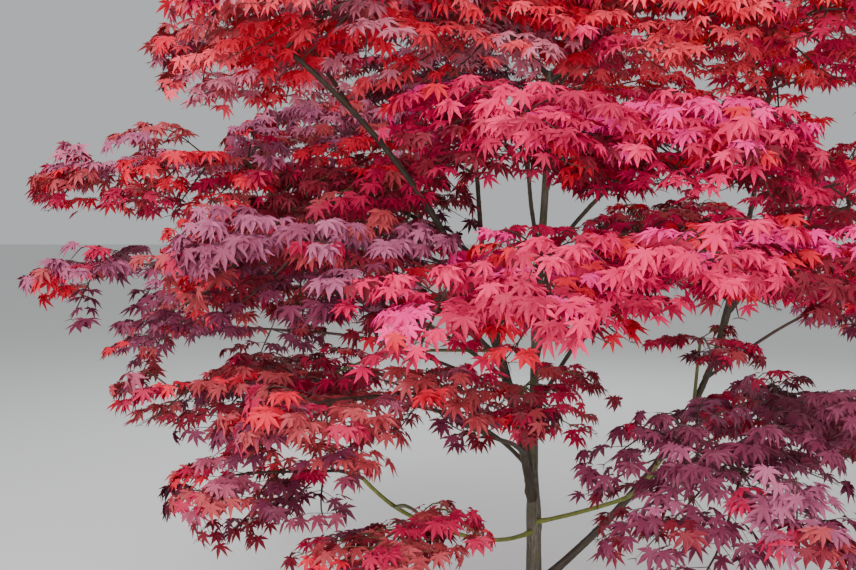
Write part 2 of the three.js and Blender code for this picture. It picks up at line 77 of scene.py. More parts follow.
UP = Vector((0.0, 0.0, 1.0))
RIGHT = Vector((1.0, 0.0, 0.0))
ALONG_RIGHT = 0.9  # a direction with more of RIGHT than this runs along it
HANDS = (1, -1)  # left and right of a twig or a lobe
ROOT_BODY = "root"
STRAIGHTENED = "along"  # attribute with a skin's place along and across its limb
MIX_INPUTS = (0, 6, 7)  # a colour Mix node's share and its two colours
MIX_RESULT = 2
TRUNK_AXES = (Vector((0, 1, 0)), Vector((-1, 0, 0)))  # as the solid's ribs are counted
TRUNK_SIDES, STEM_SIDES, BOUGH_SIDES = 48, 20, 12
LEAF_SHAPES = 6
LENGTH_STEPS = 200  # straight steps that a curve is measured by
LINE_END = 0.999  # the last share of a line that still has a step after it
RING_SLACK = 1e-9  # how far past a ring a share may lie and still count as on it


@dataclass(frozen=True)
class LimbRow:
    """One stem or bough: an arc from a place on its parent to its tip.

    Attributes:
        name: the solid's name.
        on: the parent's name.
        at: share of the parent's length.
        tip: where it ends.
        bow: how far its middle stands off the straight line.
        radii: at its base and its tip.
    """

    name: str
    on: str
    at: float
    tip: Triple
    bow: Triple
    radii: Span = (0.008, 0.0065)


LIMBS = (
    LimbRow("stem_left", "trunk", 0.245, (-0.8, -0.8, 2.06), (0.15, -0.02, 0.06), (0.016, 0.007)),
    LimbRow("stem_right", "trunk", 0.1, (0.83, -0.06, 2.13), (0.21, 0.04, -0.17), (0.016, 0.007)),
    LimbRow("stem_back", "trunk", 0.31, (-0.23, 0.88, 2.18), (-0.06, -0.15, 0.06), (0.014, 0.007)),
    LimbRow("top_limb_left", "trunk", 0.995, (-0.2, 0.06, 2.6), (-0.06, 0, -0.04), (0.009, 0.006)),
    LimbRow("top_limb_right", "trunk", 0.985, (0.38, 0.01, 2.48), (0.02, 0, -0.05)),
    LimbRow("bough_left_high", "trunk", 0.6, (-0.9, -0.26, 1.76), (0.02, 0, 0.06), (0.009, 0.006)),
    LimbRow("bough_left_middle", "trunk", 0.42, (-0.86, -0.43, 1.36), (0.04, 0, 0.09)),
    LimbRow("bough_left_low", "trunk", 0.3, (-0.7, -0.48, 1.04), (0.06, 0.01, 0.06)),
    LimbRow("bough_ground_left", "trunk", 0.2, (-0.6, -0.62, 0.79), (-0.02, -0.06, -0.07)),
    LimbRow("bough_front_low", "stem_left", 0.12, (-0.33, -0.7, 0.99), (0.02, -0.04, 0.01)),
    LimbRow("bough_front_left", "stem_left", 0.36, (-0.42, -0.93, 1.32), (0, -0.02, 0.05)),
    LimbRow("bough_front_middle", "trunk", 0.47, (-0.06, -0.8, 1.4), (0.02, 0, 0.06)),
    LimbRow("bough_front_high", "trunk", 0.68, (-0.12, -0.52, 1.82), (0, 0, 0.04)),
    LimbRow("bough_right_high", "trunk", 0.66, (0.25, -0.56, 1.78), (0.02, 0, 0.04)),
    LimbRow("bough_right_middle", "trunk", 0.4, (0.18, -0.78, 1.45), (0.02, 0.02, 0.08)),
    LimbRow("bough_right_front", "stem_right", 0.5, (0.5, -0.74, 1.43), (0.02, 0, 0.06)),
    LimbRow("bough_ground_right", "trunk", 0.215, (0.26, -0.83, 0.9), (0.09, 0.02, -0.03)),
    LimbRow("bough_right_far", "stem_right", 0.62, (1.2, 0.12, 1.64), (0, 0, 0.05)),
    LimbRow("bough_back_left", "stem_back", 0.4, (-0.82, 0.82, 1.48), (0, 0, 0.08)),
    LimbRow("bough_back_right", "stem_back", 0.3, (0.52, 0.85, 1.52), (0, 0, 0.08)),
)


class Tint(Enum):
    """Plain leaf colours, in sRGB from 0 to 255. Several carry painted light and painted sheen, as noted by
    each.
    """

    PINK = (230, 28, 124)
    ROSE = (212, 20, 84)
    ROSE_DEEP = (170, 18, 62)
    SCARLET = (204, 20, 50)
    # partly painted light: the orange glow of light through backlit leaves, given as a plain tint
    ORANGE_RED = (212, 28, 32)
    CRIMSON = (114, 24, 40)
    WINE = (78, 20, 36)
    SALMON = (160, 56, 64)
    # painted light: a pale coral for the lower leaves of high masses, so their shaded undersides read as lit
    CORAL = (224, 62, 80)
    # partly the leaves' own mauve and partly painted sheen of pale light on their upper faces
    MAUVE = (157, 69, 93)
    # painted sheen: pale light glancing off the leaves' upper faces, given as a tint
    MAUVE_PALE = (181, 93, 123)
    # painted light: a light mauve for the lower leaves of high masses, so their shaded undersides read as lit
    MAUVE_LIGHT = (200, 108, 130)
    MAUVE_DEEP = (104, 38, 62)
    MAUVE_DUSTY = (130, 58, 84)
    # painted sheen: the lilac glint of pale light on the leaves' upper faces, given as a tint
    LILAC = (152, 76, 106)


class Palette(Enum):
    """Leaf tints of one kind of mass: upper tints first, then lower, each with its weight. The lower tints
    are darker as painted shade, except in the HIGH palettes, whose lower tints are lighter as painted light.
    """

    ROSE = (
        ((Tint.PINK, 2.6), (Tint.ROSE, 5.6), (Tint.SCARLET, 0.9), (Tint.ROSE_DEEP, 1.5)),
        ((Tint.ROSE, 2.4), (Tint.ROSE_DEEP, 4.0), (Tint.CRIMSON, 2.0), (Tint.SCARLET, 1.2)),
    )
    SCARLET = (
        ((Tint.SCARLET, 3.2), (Tint.ROSE, 2.6), (Tint.ORANGE_RED, 0.6), (Tint.MAUVE, 1.8)),
        ((Tint.ROSE_DEEP, 3.0), (Tint.CRIMSON, 2.6), (Tint.SCARLET, 1.8), (Tint.SALMON, 1.4)),
    )
    # its upper tints hold painted sheen: the pale mauve and lilac glint of light on leaf tops
    BLOOM = (
        (
            (Tint.MAUVE_PALE, 2.4),
            (Tint.LILAC, 1.8),
            (Tint.SALMON, 2.0),
            (Tint.ROSE_DEEP, 1.4),
            (Tint.SCARLET, 1.2),
        ),
        ((Tint.SCARLET, 2.8), (Tint.ROSE_DEEP, 2.4), (Tint.SALMON, 2.0), (Tint.CRIMSON, 0.8)),
    )
    DUSTY = (
        ((Tint.SALMON, 3.6), (Tint.ROSE_DEEP, 1.8), (Tint.MAUVE, 1.8), (Tint.SCARLET, 0.9)),
        ((Tint.CRIMSON, 2.6), (Tint.MAUVE_DEEP, 2.2), (Tint.SALMON, 2.0), (Tint.WINE, 0.6)),
    )
    CRIMSON = (
        ((Tint.CRIMSON, 2.8), (Tint.SCARLET, 0.6), (Tint.ROSE_DEEP, 2.8), (Tint.SALMON, 1.8)),
        ((Tint.CRIMSON, 3.8), (Tint.WINE, 1.2), (Tint.MAUVE_DEEP, 1.2), (Tint.ROSE_DEEP, 1.8)),
    )
    PLUM = (
        ((Tint.MAUVE_DUSTY, 4.0), (Tint.MAUVE_DEEP, 2.4), (Tint.LILAC, 1.6), (Tint.ROSE_DEEP, 0.8)),
        ((Tint.MAUVE_DEEP, 3.4), (Tint.CRIMSON, 2.0), (Tint.WINE, 1.2), (Tint.SALMON, 0.8)),
    )
    MAUVE = (
        ((Tint.MAUVE_DUSTY, 3.4), (Tint.LILAC, 2.6), (Tint.SALMON, 1.8), (Tint.ROSE_DEEP, 1.6)),
        ((Tint.MAUVE_DEEP, 3.0), (Tint.CRIMSON, 2.0), (Tint.SALMON, 1.8), (Tint.SCARLET, 0.4)),
    )
    DEEP_SCARLET = (
        ((Tint.SCARLET, 4.0), (Tint.ORANGE_RED, 1.0), (Tint.ROSE_DEEP, 3.2), (Tint.CRIMSON, 0.8)),
        ((Tint.SCARLET, 2.6), (Tint.ROSE_DEEP, 3.0), (Tint.CRIMSON, 2.0)),
    )
    # lower tints lighter than the upper: painted light on undersides that are seen from below
    HIGH_MAUVE = (
        ((Tint.MAUVE, 3.0), (Tint.SALMON, 2.2), (Tint.ROSE_DEEP, 2.0), (Tint.SCARLET, 1.4)),
        ((Tint.CORAL, 4.2), (Tint.MAUVE_LIGHT, 2.4), (Tint.SALMON, 1.0), (Tint.SCARLET, 1.6)),
    )
    # lower tints lighter than the upper: painted light on undersides that are seen from below
    HIGH_SCARLET = (
        ((Tint.SCARLET, 3.0), (Tint.ROSE, 2.8), (Tint.ORANGE_RED, 0.8), (Tint.SALMON, 1.2)),
        ((Tint.SCARLET, 2.2), (Tint.CORAL, 4.0), (Tint.ROSE, 1.8), (Tint.ROSE_DEEP, 0.8)),
    )


@dataclass(frozen=True)
class MassRow:
    """One mass of foliage, kept to a flattened ellipsoid.

    Attributes:
        name: the solid's name.
        slot: its slot in the record; not used here.
        palette: its leaf tints.
        on: the limb that its stem leaves.
        at: share of that limb's length.
        centre: of the ellipsoid.
        radii: along its spine, across it and up.
        turn: the spine's heading in degrees, from +X towards +Y.
        fill: how dense its sprays stand, against 1.
    """

    name: str
    slot: str
    palette: Palette
    on: str
    at: float
    centre: Triple
    radii: Triple
    turn: float
    fill: float = 1.0


def mass_rows(slot: str, palette: Palette, *rows: tuple) -> tuple[MassRow, ...]:
    """Mass rows that share a slot of the record and a palette."""
    return tuple(MassRow(name, slot, palette, *rest) for name, *rest in rows)


MASSES = (
    *mass_rows(
        "leaf_scarlet",
        Palette.SCARLET,
        ("tier_back_left", "bough_back_left", 1, (-1.08, 0.9, 1.48), (0.52, 0.48, 0.22), 155, 0.85),
    ),
    *mass_rows(
        "leaf_scarlet",
        Palette.BLOOM,
        ("tier_left_high", "bough_left_high", 1, (-1.225, -0.33, 1.715), (0.48, 0.34, 0.18), 188),
        ("crown_inner_back", "stem_back", 0.7, (-0.78, 0.38, 1.85), (0.52, 0.43, 0.23), 185, 1.2),
    ),
    *mass_rows(
        "leaf_scarlet",
        Palette.DUSTY,
        ("tier_left_low", "bough_left_low", 1, (-0.95, -0.64, 1.045), (0.38, 0.33, 0.15), 205, 0.75),
        ("skirt_left", "bough_ground_left", 1, (-0.84, -0.8, 0.79), (0.32, 0.27, 0.19), 215, 0.9),
    ),
    *mass_rows(
        "leaf_scarlet",
        Palette.HIGH_SCARLET,
        ("crown_top", "top_limb_left", 1, (-0.12, -0.02, 2.9), (0.48, 0.44, 0.205), 60),
        ("crown_back_right", "stem_back", 0.86, (0.47, 1.02, 2.13), (0.54, 0.48, 0.24), 40, 0.85),
    ),
    *mass_rows(
        "leaf_scarlet",
        Palette.DEEP_SCARLET,
        ("crown_right", "stem_right", 0.8, (1.01, -0.13, 1.99), (0.43, 0.36, 0.24), 345, 0.5),
        ("crown_far_right", "bough_right_far", 1, (1.4, 0.22, 1.69), (0.47, 0.43, 0.23), 10, 0.75),
    ),
    *mass_rows(
        "leaf_rose",
        Palette.ROSE,
        ("tier_front_left", "bough_front_left", 1, (-0.385, -1.23, 1.315), (0.32, 0.25, 0.175), 265),
        ("tier_front_middle", "bough_front_middle", 1, (-0.12, -1.18, 1.4), (0.37, 0.28, 0.19), 268, 1.4),
        ("tier_front_high", "bough_front_high", 1, (-0.15, -0.86, 1.79), (0.42, 0.37, 0.19), 265, 1.45),
        ("tier_right_high", "bough_right_high", 1, (0.3, -0.88, 1.76), (0.43, 0.4, 0.18), 290, 1.4),
        ("tier_right_middle", "bough_right_middle", 1, (0.21, -1.13, 1.455), (0.41, 0.33, 0.155), 280, 1.3),
        ("tier_right_front", "bough_right_front", 1, (0.62, -1.1, 1.43), (0.43, 0.36, 0.165), 300, 1.15),
        ("tier_right_edge", "stem_right", 0.68, (0.9, -0.66, 1.64), (0.44, 0.37, 0.18), 305, 0.55),
    ),
    *mass_rows(
        "leaf_rose",
        Palette.HIGH_SCARLET,
        ("crown_front_right", "trunk", 0.95, (0.3, -0.5, 2.17), (0.47, 0.38, 0.22), 300, 1.35),
        ("crown_right_front", "stem_right", 0.93, (0.76, -0.56, 2.15), (0.45, 0.38, 0.21), 280, 1.15),
    ),
    *mass_rows(
        "leaf_crimson",
        Palette.CRIMSON,
        ("tuft_trunk", "trunk", 0.33, (-0.08, -0.42, 0.96), (0.32, 0.28, 0.19), 260, 0.65),
        ("crown_inner_left", "stem_left", 0.52, (-0.64, -0.3, 1.58), (0.43, 0.38, 0.21), 170, 1.25),
        ("skirt_front", "bough_ground_left", 0.8, (-0.5, -0.95, 0.68), (0.33, 0.28, 0.16), 250, 0.4),
        ("tuft_right", "stem_right", 0.45, (0.52, -0.34, 1.14), (0.24, 0.2, 0.11), 260, 0.1),
        ("tier_back_right", "bough_back_right", 1, (0.76, 1.07, 1.48), (0.53, 0.48, 0.22), 50, 0.85),
        ("skirt_back_left", "stem_back", 0.25, (-1.05, 0.72, 0.85), (0.43, 0.4, 0.19), 145, 0.85),
    ),
    *mass_rows(
        "leaf_crimson",
        Palette.PLUM,
        ("skirt_right_front", "bough_ground_right", 1, (0.33, -1.16, 0.88), (0.42, 0.37, 0.22), 285, 0.85),
        ("skirt_right", "stem_right", 0.36, (0.79, -0.78, 0.97), (0.43, 0.37, 0.2), 310, 0.5),
        ("tier_far_right_low", "stem_right", 0.5, (1.4, 0.06, 1.23), (0.4, 0.38, 0.19), 355, 0.45),
        ("skirt_back_right", "stem_right", 0.22, (1.19, 0.6, 0.7), (0.43, 0.4, 0.19), 30, 0.85),
    ),
    *mass_rows(
        "leaf_mauve",
        Palette.MAUVE,
        ("tier_left_middle", "bough_left_middle", 1, (-1.165, -0.56, 1.385), (0.46, 0.34, 0.16), 192, 0.75),
        ("tier_left_front", "stem_left", 0.62, (-0.7, -0.95, 1.43), (0.43, 0.38, 0.2), 232, 1.15),
        ("tuft_left_back", "stem_back", 0.16, (-1.15, -0.03, 1.12), (0.4, 0.32, 0.18), 182, 0.5),
        ("crown_back_left", "stem_back", 1, (-0.43, 1.11, 2.17), (0.54, 0.48, 0.24), 120, 0.85),
    ),
    *mass_rows(
        "leaf_mauve",
        Palette.DUSTY,
        ("tier_front_low", "bough_front_low", 1, (-0.56, -1.01, 1.05), (0.43, 0.35, 0.17), 225, 0.85),
    ),
    *mass_rows(
        "leaf_mauve",
        Palette.HIGH_MAUVE,
        ("crown_left_tip", "stem_left", 0.86, (-0.96, -0.42, 2.075), (0.39, 0.35, 0.19), 160),
        ("crown_front_left", "stem_left", 1, (-0.69, -0.98, 2.12), (0.42, 0.4, 0.2), 225),
        ("crown_front", "trunk", 0.93, (-0.24, -0.5, 2.18), (0.47, 0.4, 0.22), 240, 1.3),
        ("crown_top_left", "top_limb_left", 0.75, (-0.6, -0.02, 2.51), (0.52, 0.47, 0.25), 175, 0.8),
        ("crown_top_right", "top_limb_right", 1, (0.56, -0.06, 2.56), (0.52, 0.46, 0.25), 350, 0.8),
        ("crown_top_back", "top_limb_left", 0.6, (-0.02, 0.5, 2.52), (0.52, 0.46, 0.25), 80, 0.85),
    ),
)


def linear(red: float, green: float, blue: float) -> Colour:
    """Turns an sRGB colour from 0 to 255 into linear values.

    Args:
        red: sRGB red.
        green: sRGB green.
        blue: sRGB blue.

    Returns:
        Linear red, green, blue and an alpha of 1.
    """

    def one(value: float) -> float:
        """One channel's linear value, by the sRGB curve."""
        share = value / 255
        return share / 12.92 if share <= 0.04045 else ((share + 0.055) / 1.055) ** 2.4

    return (one(red), one(green), one(blue), 1.0)


def smoothstep(value: float, low: float, high: float) -> float:
    """0 below low, 1 above high, and smooth between."""
    share = min(max((value - low) / (high - low), 0.0), 1.0)
    return share * share * (3 - 2 * share)


def mix(low: float, high: float, share: float) -> float:
    """A value on the way from low to high."""
    return low + (high - low) * share


def sloping(heading: float, drop: float) -> Vector:
    """A direction at a heading from +X towards +Y that slopes down, both in radians."""
    level = math.cos(drop)
    return Vector((math.cos(heading) * level, math.sin(heading) * level, -math.sin(drop)))


@dataclass
class Dice:
    """A repeatable stream of numbers seeded by a name, the same as the solids draw.

    Attributes:
        name: what seeds it.
        basis: the state before the name is mixed in.
        prime: what each letter multiplies the state by.
        factor: what each draw multiplies the state by.
        offset: what each draw then adds.
        states: how many different states there are.
    """

    name: str
    basis: int = 2166136261
    prime: int = 16777619
    factor: int = 1664525
    offset: int = 1013904223
    states: int = 2**32

    def __post_init__(self) -> None:
        """Mixes the name's letters into the first state."""
        self.state = self.basis
        for letter in self.name:
            self.state = (self.state ^ ord(letter)) * self.prime % self.states

    def roll(self) -> float:
        """The next number, from 0 to 1."""
        self.state = (self.state * self.factor + self.offset) % self.states
        return self.state / self.states

    def near(self, middle: float, spread: float) -> float:
        """A number near a middle value, up to a spread either side."""
        return middle + (2 * self.roll() - 1) * spread

    def pick(self, weighted: Sequence[tuple[Tint, float]]) -> Tint:
        """Picks one of some tints.

        Args:
            weighted: the tints, each with its weight.

        Returns:
            The tint.
        """
        left = self.roll() * sum(weight for _, weight in weighted)
        for tint, weight in weighted:
            left -= weight
            if left <= 0:
                return tint
        return weighted[-1][0]


def step_lengths(points: Sequence[Vector]) -> list[float]:
    """The lengths of the straight steps between a line's points."""
    return [(after - before).length for before, after in zip(points, points[1:])]


@dataclass
class Limb:
    """The centre line and the girth of the trunk or of a limb, as in the solids.

    Attributes:
        name: the solid's name.
        shares: places of the solid's rings, as shares of the length.
    """

    name: str
    shares: Sequence[float] = field(init=False)

    def point(self, share: float) -> Vector:
        """The centre line's point at a share of its length."""
        raise NotImplementedError

    def radius(self, share: float, angle: float) -> float:
        """The radius without relief, at a share of the length and an angle round it."""
        raise NotImplementedError

    def points(self, steps: int) -> list[Vector]:
        """Points at equal shares of the centre line, from its start to its end."""
        return [self.point(i / steps) for i in range(steps + 1)]

    def length(self) -> float:
        """The length of the centre line, by straight steps."""
        return sum(step_lengths(self.points(LENGTH_STEPS)))

    def spot(self, share: float) -> Vector:
        """Finds a point on the middle line of the solid's straight stretches.

        Args:
            share: how far along, from 0 to 1.

        Returns:
            The point.
        """
        after = max(1, next(i for i, end in enumerate(self.shares) if end >= share - RING_SLACK))
        low, high = self.shares[after - 1], self.shares[after]
        return self.point(low).lerp(self.point(high), (share - low) / (high - low))


@dataclass
class Trunk(Limb):
    """The trunk, which stands upright at ground level.

    Attributes:
        name: the solid's name.
        shares: places of the solid's rings, as shares of the height.
        height: up to the upper fork.
        lean: how far its top stands to the right and to the back.
        sway: how far its middle bends to the left.
        radii: at its foot and its top.
        fork_loss: what the radius loses where the stems leave it.
        low_fork: heights between which it loses that.
        flare_width: what the flare adds to the radius at the foot.
        flare_height: height in which that falls to about a third.
        ribs: count of the flare's ribs.
        rib_depth: how much of the flare the hollows between them take.
    """

    name: str = "trunk"
    shares: Sequence[float] = (0, 0.012, 0.03, 0.06, 0.1, 0.16, 0.22, 0.27, 0.32, 0.42, 0.55, 0.7, 0.85, 1)
    height: float = 2.13
    lean: Span = (0.048, 0.04)
    sway: float = 0.026
    radii: Span = (0.03, 0.0115)
    fork_loss: float = 0.0085
    low_fork: Span = (0.47, 0.68)
    flare_width: float = 0.04
    flare_height: float = 0.075
    ribs: int = 5
    rib_depth: float = 0.25

    def point(self, share: float) -> Vector:
        """Finds a point on the centre line.

        Args:
            share: how far up, from 0 to 1.

        Returns:
            The point.
        """
        leant = smoothstep(share, 0, 1)
        swayed = self.sway * math.sin(math.pi * share) ** 2
        return Vector((self.lean[0] * leant - swayed, self.lean[1] * leant, self.height * share))

    def radius(self, share: float, angle: float) -> float:
        """Works out the radius, with the ribs of the flare at the foot.

        Args:
            share: how far up, from 0 to 1.
            angle: how far round, in radians.

        Returns:
            The radius there.
        """
        height = share * self.height
        taper = mix(self.radii[0], self.radii[1] + self.fork_loss, share)
        forked = self.fork_loss * smoothstep(height, *self.low_fork)
        flare = self.flare_width * math.exp(-height / self.flare_height)
        return taper - forked + flare * (1 - self.rib_depth + self.rib_depth * math.cos(self.ribs * angle))


@dataclass
class Bough(Limb):
    """A stem or bough: a straight line with a bow and a small seeded wander.

    Attributes:
        start: the point of its parent that it grows from.
        tip: where it ends.
        bow: how far its middle stands off the straight line.
        radii: at its base and its tip.
        ring_step: length between the solid's rings.
        wander: how far its longest wave takes it aside, against its length.
        wander_waves: how many half waves each wave has along it, the longest first.
    """

    start: Vector
    tip: Vector
    bow: Vector
    radii: Span
    ring_step: float = 0.19
    wander: float = 0.012
    wander_waves: tuple[int, ...] = (2, 3)

    def __post_init__(self) -> None:
        """Draws the wander and counts the rings."""
        dice = Dice(self.name)
        stray = 2 * self.wander_waves[0] * self.wander * (self.tip - self.start).length
        self.waves = []
        for count in self.wander_waves:
            offset = Vector((dice.roll() - 0.5, dice.roll() - 0.5, dice.roll() - 0.5))
            self.waves.append((count, offset * (stray / count)))
        rings = round(self.length() / self.ring_step)
        self.shares = [i / rings for i in range(rings + 1)]

    def point(self, share: float) -> Vector:
        """Finds a point on the centre line.

        Args:
            share: how far along, from 0 to 1.

        Returns:
            The point.
        """
        bowed = 4 * share * (1 - share)  # 1 at the middle, 0 at both ends
        place = self.start.lerp(self.tip, share) + self.bow * bowed
        for count, size in self.waves:
            place += size * math.sin(math.pi * count * share)
        return place

    def radius(self, share: float, angle: float) -> float:
        """The radius without relief, at a share of the length. It is the same all round."""
        return mix(*self.radii, share)


def grow_limbs() -> dict[str, Limb]:
    """Works out the trunk and every limb.

    Returns:
        The limbs by name, each after the one that it grows on.
    """
    trunk = Trunk()
    grown: dict[str, Limb] = {trunk.name: trunk}
    for row in LIMBS:
        start = grown[row.on].spot(row.at)
        grown[row.name] = Bough(row.name, start, Vector(row.tip), Vector(row.bow), row.radii)
    return grown


# Materials


def principled(material: bpy.types.Material) -> bpy.types.Node:
    """The material's Principled shader node."""
    return material.node_tree.nodes["Principled BSDF"]


def plain_material(
    name: str, colour: Triple, roughness: float, specular: float
) -> bpy.types.Material:
    """Makes a material of one colour, once.

    Args:
        name: its name.
        colour: sRGB from 0 to 255.
        roughness: of its surface.
        specular: strength of its gloss.

    Returns:
        The material.
    """
    known = bpy.data.materials.get(name)
    if known:
        return known
    made = bpy.data.materials.new(name)
    made.use_nodes = True
    shader = principled(made)
    shader.inputs["Base Color"].default_value = linear(*colour)
    shader.inputs["Roughness"].default_value = roughness
    shader.inputs["Specular IOR Level"].default_value = specular
    made.diffuse_color = linear(*colour)
    return made


@dataclass(frozen=True)
class LeafFinish:
    """A plain leaf surface: one colour with a soft waxy gloss.

    Attributes:
        tint: its colour.
        roughness: of its surface.
        specular: strength of its gloss.
    """

    tint: Tint
    roughness: float = 0.5
    specular: float = 0.2

    def material(self) -> bpy.types.Material:
        """The finish's material."""
        name = f"blade_{self.tint.name.lower()}"
        return plain_material(name, self.tint.value, self.roughness, self.specular)


@dataclass(frozen=True)
class TwigFinish:
    """The thin bark of twigs: one colour, satin.

    Attributes:
        name: the material's name.
        colour: sRGB from 0 to 255.
        roughness: of its surface.
        specular: strength of its gloss.
    """

    name: str
    colour: Triple
    roughness: float = 0.6
    specular: float = 0.5

    def material(self) -> bpy.types.Material:
        """The finish's material."""
        return plain_material(self.name, self.colour, self.roughness, self.specular)


BROWN_TWIGS = TwigFinish("twig_brown", (62, 36, 28))
GREEN_TWIGS = TwigFinish("twig_green", (84, 84, 40))


@dataclass
class GroupBuilder:
    """A shader node group with named sockets.

    Attributes:
        name: the group's name.
    """

    name: str

    def __post_init__(self) -> None:
        """Adds the group with its entry and exit."""
        self.tree = bpy.data.node_groups.new(self.name, "ShaderNodeTree")
        self.entry = self.tree.nodes.new("NodeGroupInput")
        self.exit = self.tree.nodes.new("NodeGroupOutput")

    def take(self, name: str, kind: str) -> None:
        """Adds an input socket."""
        self.tree.interface.new_socket(name, in_out="INPUT", socket_type=kind)

    def give(self, name: str, kind: str) -> None:
        """Adds an output socket."""
        self.tree.interface.new_socket(name, in_out="OUTPUT", socket_type=kind)

    def node(self, kind: str, **settings: object) -> bpy.types.Node:
        """Adds a node.

        Args:
            kind: its type.
            settings: properties of the node, by name.

        Returns:
            The node.
        """
        made = self.tree.nodes.new(kind)
        for key, value in settings.items():
            setattr(made, key, value)
        return made

    def link(self, source: bpy.types.NodeSocket, target: bpy.types.NodeSocket) -> None:
        """Joins two sockets."""
        self.tree.links.new(source, target)

    def feed(self, values: Iterable[object], sockets: Iterable[bpy.types.NodeSocket]) -> None:
        """Gives input sockets their values.

        Args:
            values: a socket to read from or a plain value, for each.
            sockets: the inputs.
        """
        for value, socket in zip(values, sockets):
            if isinstance(value, bpy.types.NodeSocket):
                self.link(value, socket)
            else:
                socket.default_value = value

    def stretched(self, stretch: Triple) -> bpy.types.NodeSocket:
        """Reads the limb's straightened coordinates.

        Args:
            stretch: scale of each axis.

        Returns:
            The scaled coordinates.
        """
        place = self.node("ShaderNodeAttribute", attribute_name=STRAIGHTENED)
        made = self.node("ShaderNodeMapping")
        made.inputs["Scale"].default_value = stretch
        self.link(place.outputs["Vector"], made.inputs["Vector"])
        return made.outputs["Vector"]

    def noise(self, scale: float, stretch: Triple, detail: float) -> bpy.types.NodeSocket:
        """Adds a noise texture.

        Args:
            scale: how fine it is.
            stretch: scale of each axis of the straightened coordinates.
            detail: how many finer layers it has.

        Returns:
            Its value.
        """
        made = self.node("ShaderNodeTexNoise")
        made.inputs["Scale"].default_value = scale
        made.inputs["Detail"].default_value = detail
        self.link(self.stretched(stretch), made.inputs["Vector"])
        return made.outputs["Fac"]

    def maths(self, kind: str, first: object, second: object) -> bpy.types.NodeSocket:
        """Adds a Math node.

        Args:
            kind: the operation.
            first: a socket or a number.
            second: a socket or a number.

        Returns:
            The result.
        """
        made = self.node("ShaderNodeMath", operation=kind)
        self.feed((first, second), made.inputs)
        return made.outputs[0]

    def blend(self, share: object, low: object, high: object) -> bpy.types.NodeSocket:
        """Mixes two colours.

        Args:
            share: how much of the second, a socket or a number.
            low: the first colour.
            high: the second colour.

        Returns:
            The mixed colour.
        """
        made = self.node("ShaderNodeMix", data_type="RGBA")
        self.feed((share, low, high), [made.inputs[number] for number in MIX_INPUTS])
        return made.outputs[MIX_RESULT]

    def ramp(self, source: bpy.types.NodeSocket, low: float, high: float) -> bpy.types.NodeSocket:
        """Spreads a range of values over 0 to 1.

        Args:
            source: the values.
            low: the value that becomes 0.
            high: the value that becomes 1.

        Returns:
            The spread values.
        """
        made = self.node("ShaderNodeMapRange", clamp=True)
        self.link(source, made.inputs["Value"])
        made.inputs["From Min"].default_value = low
        made.inputs["From Max"].default_value = high
        return made.outputs["Result"]


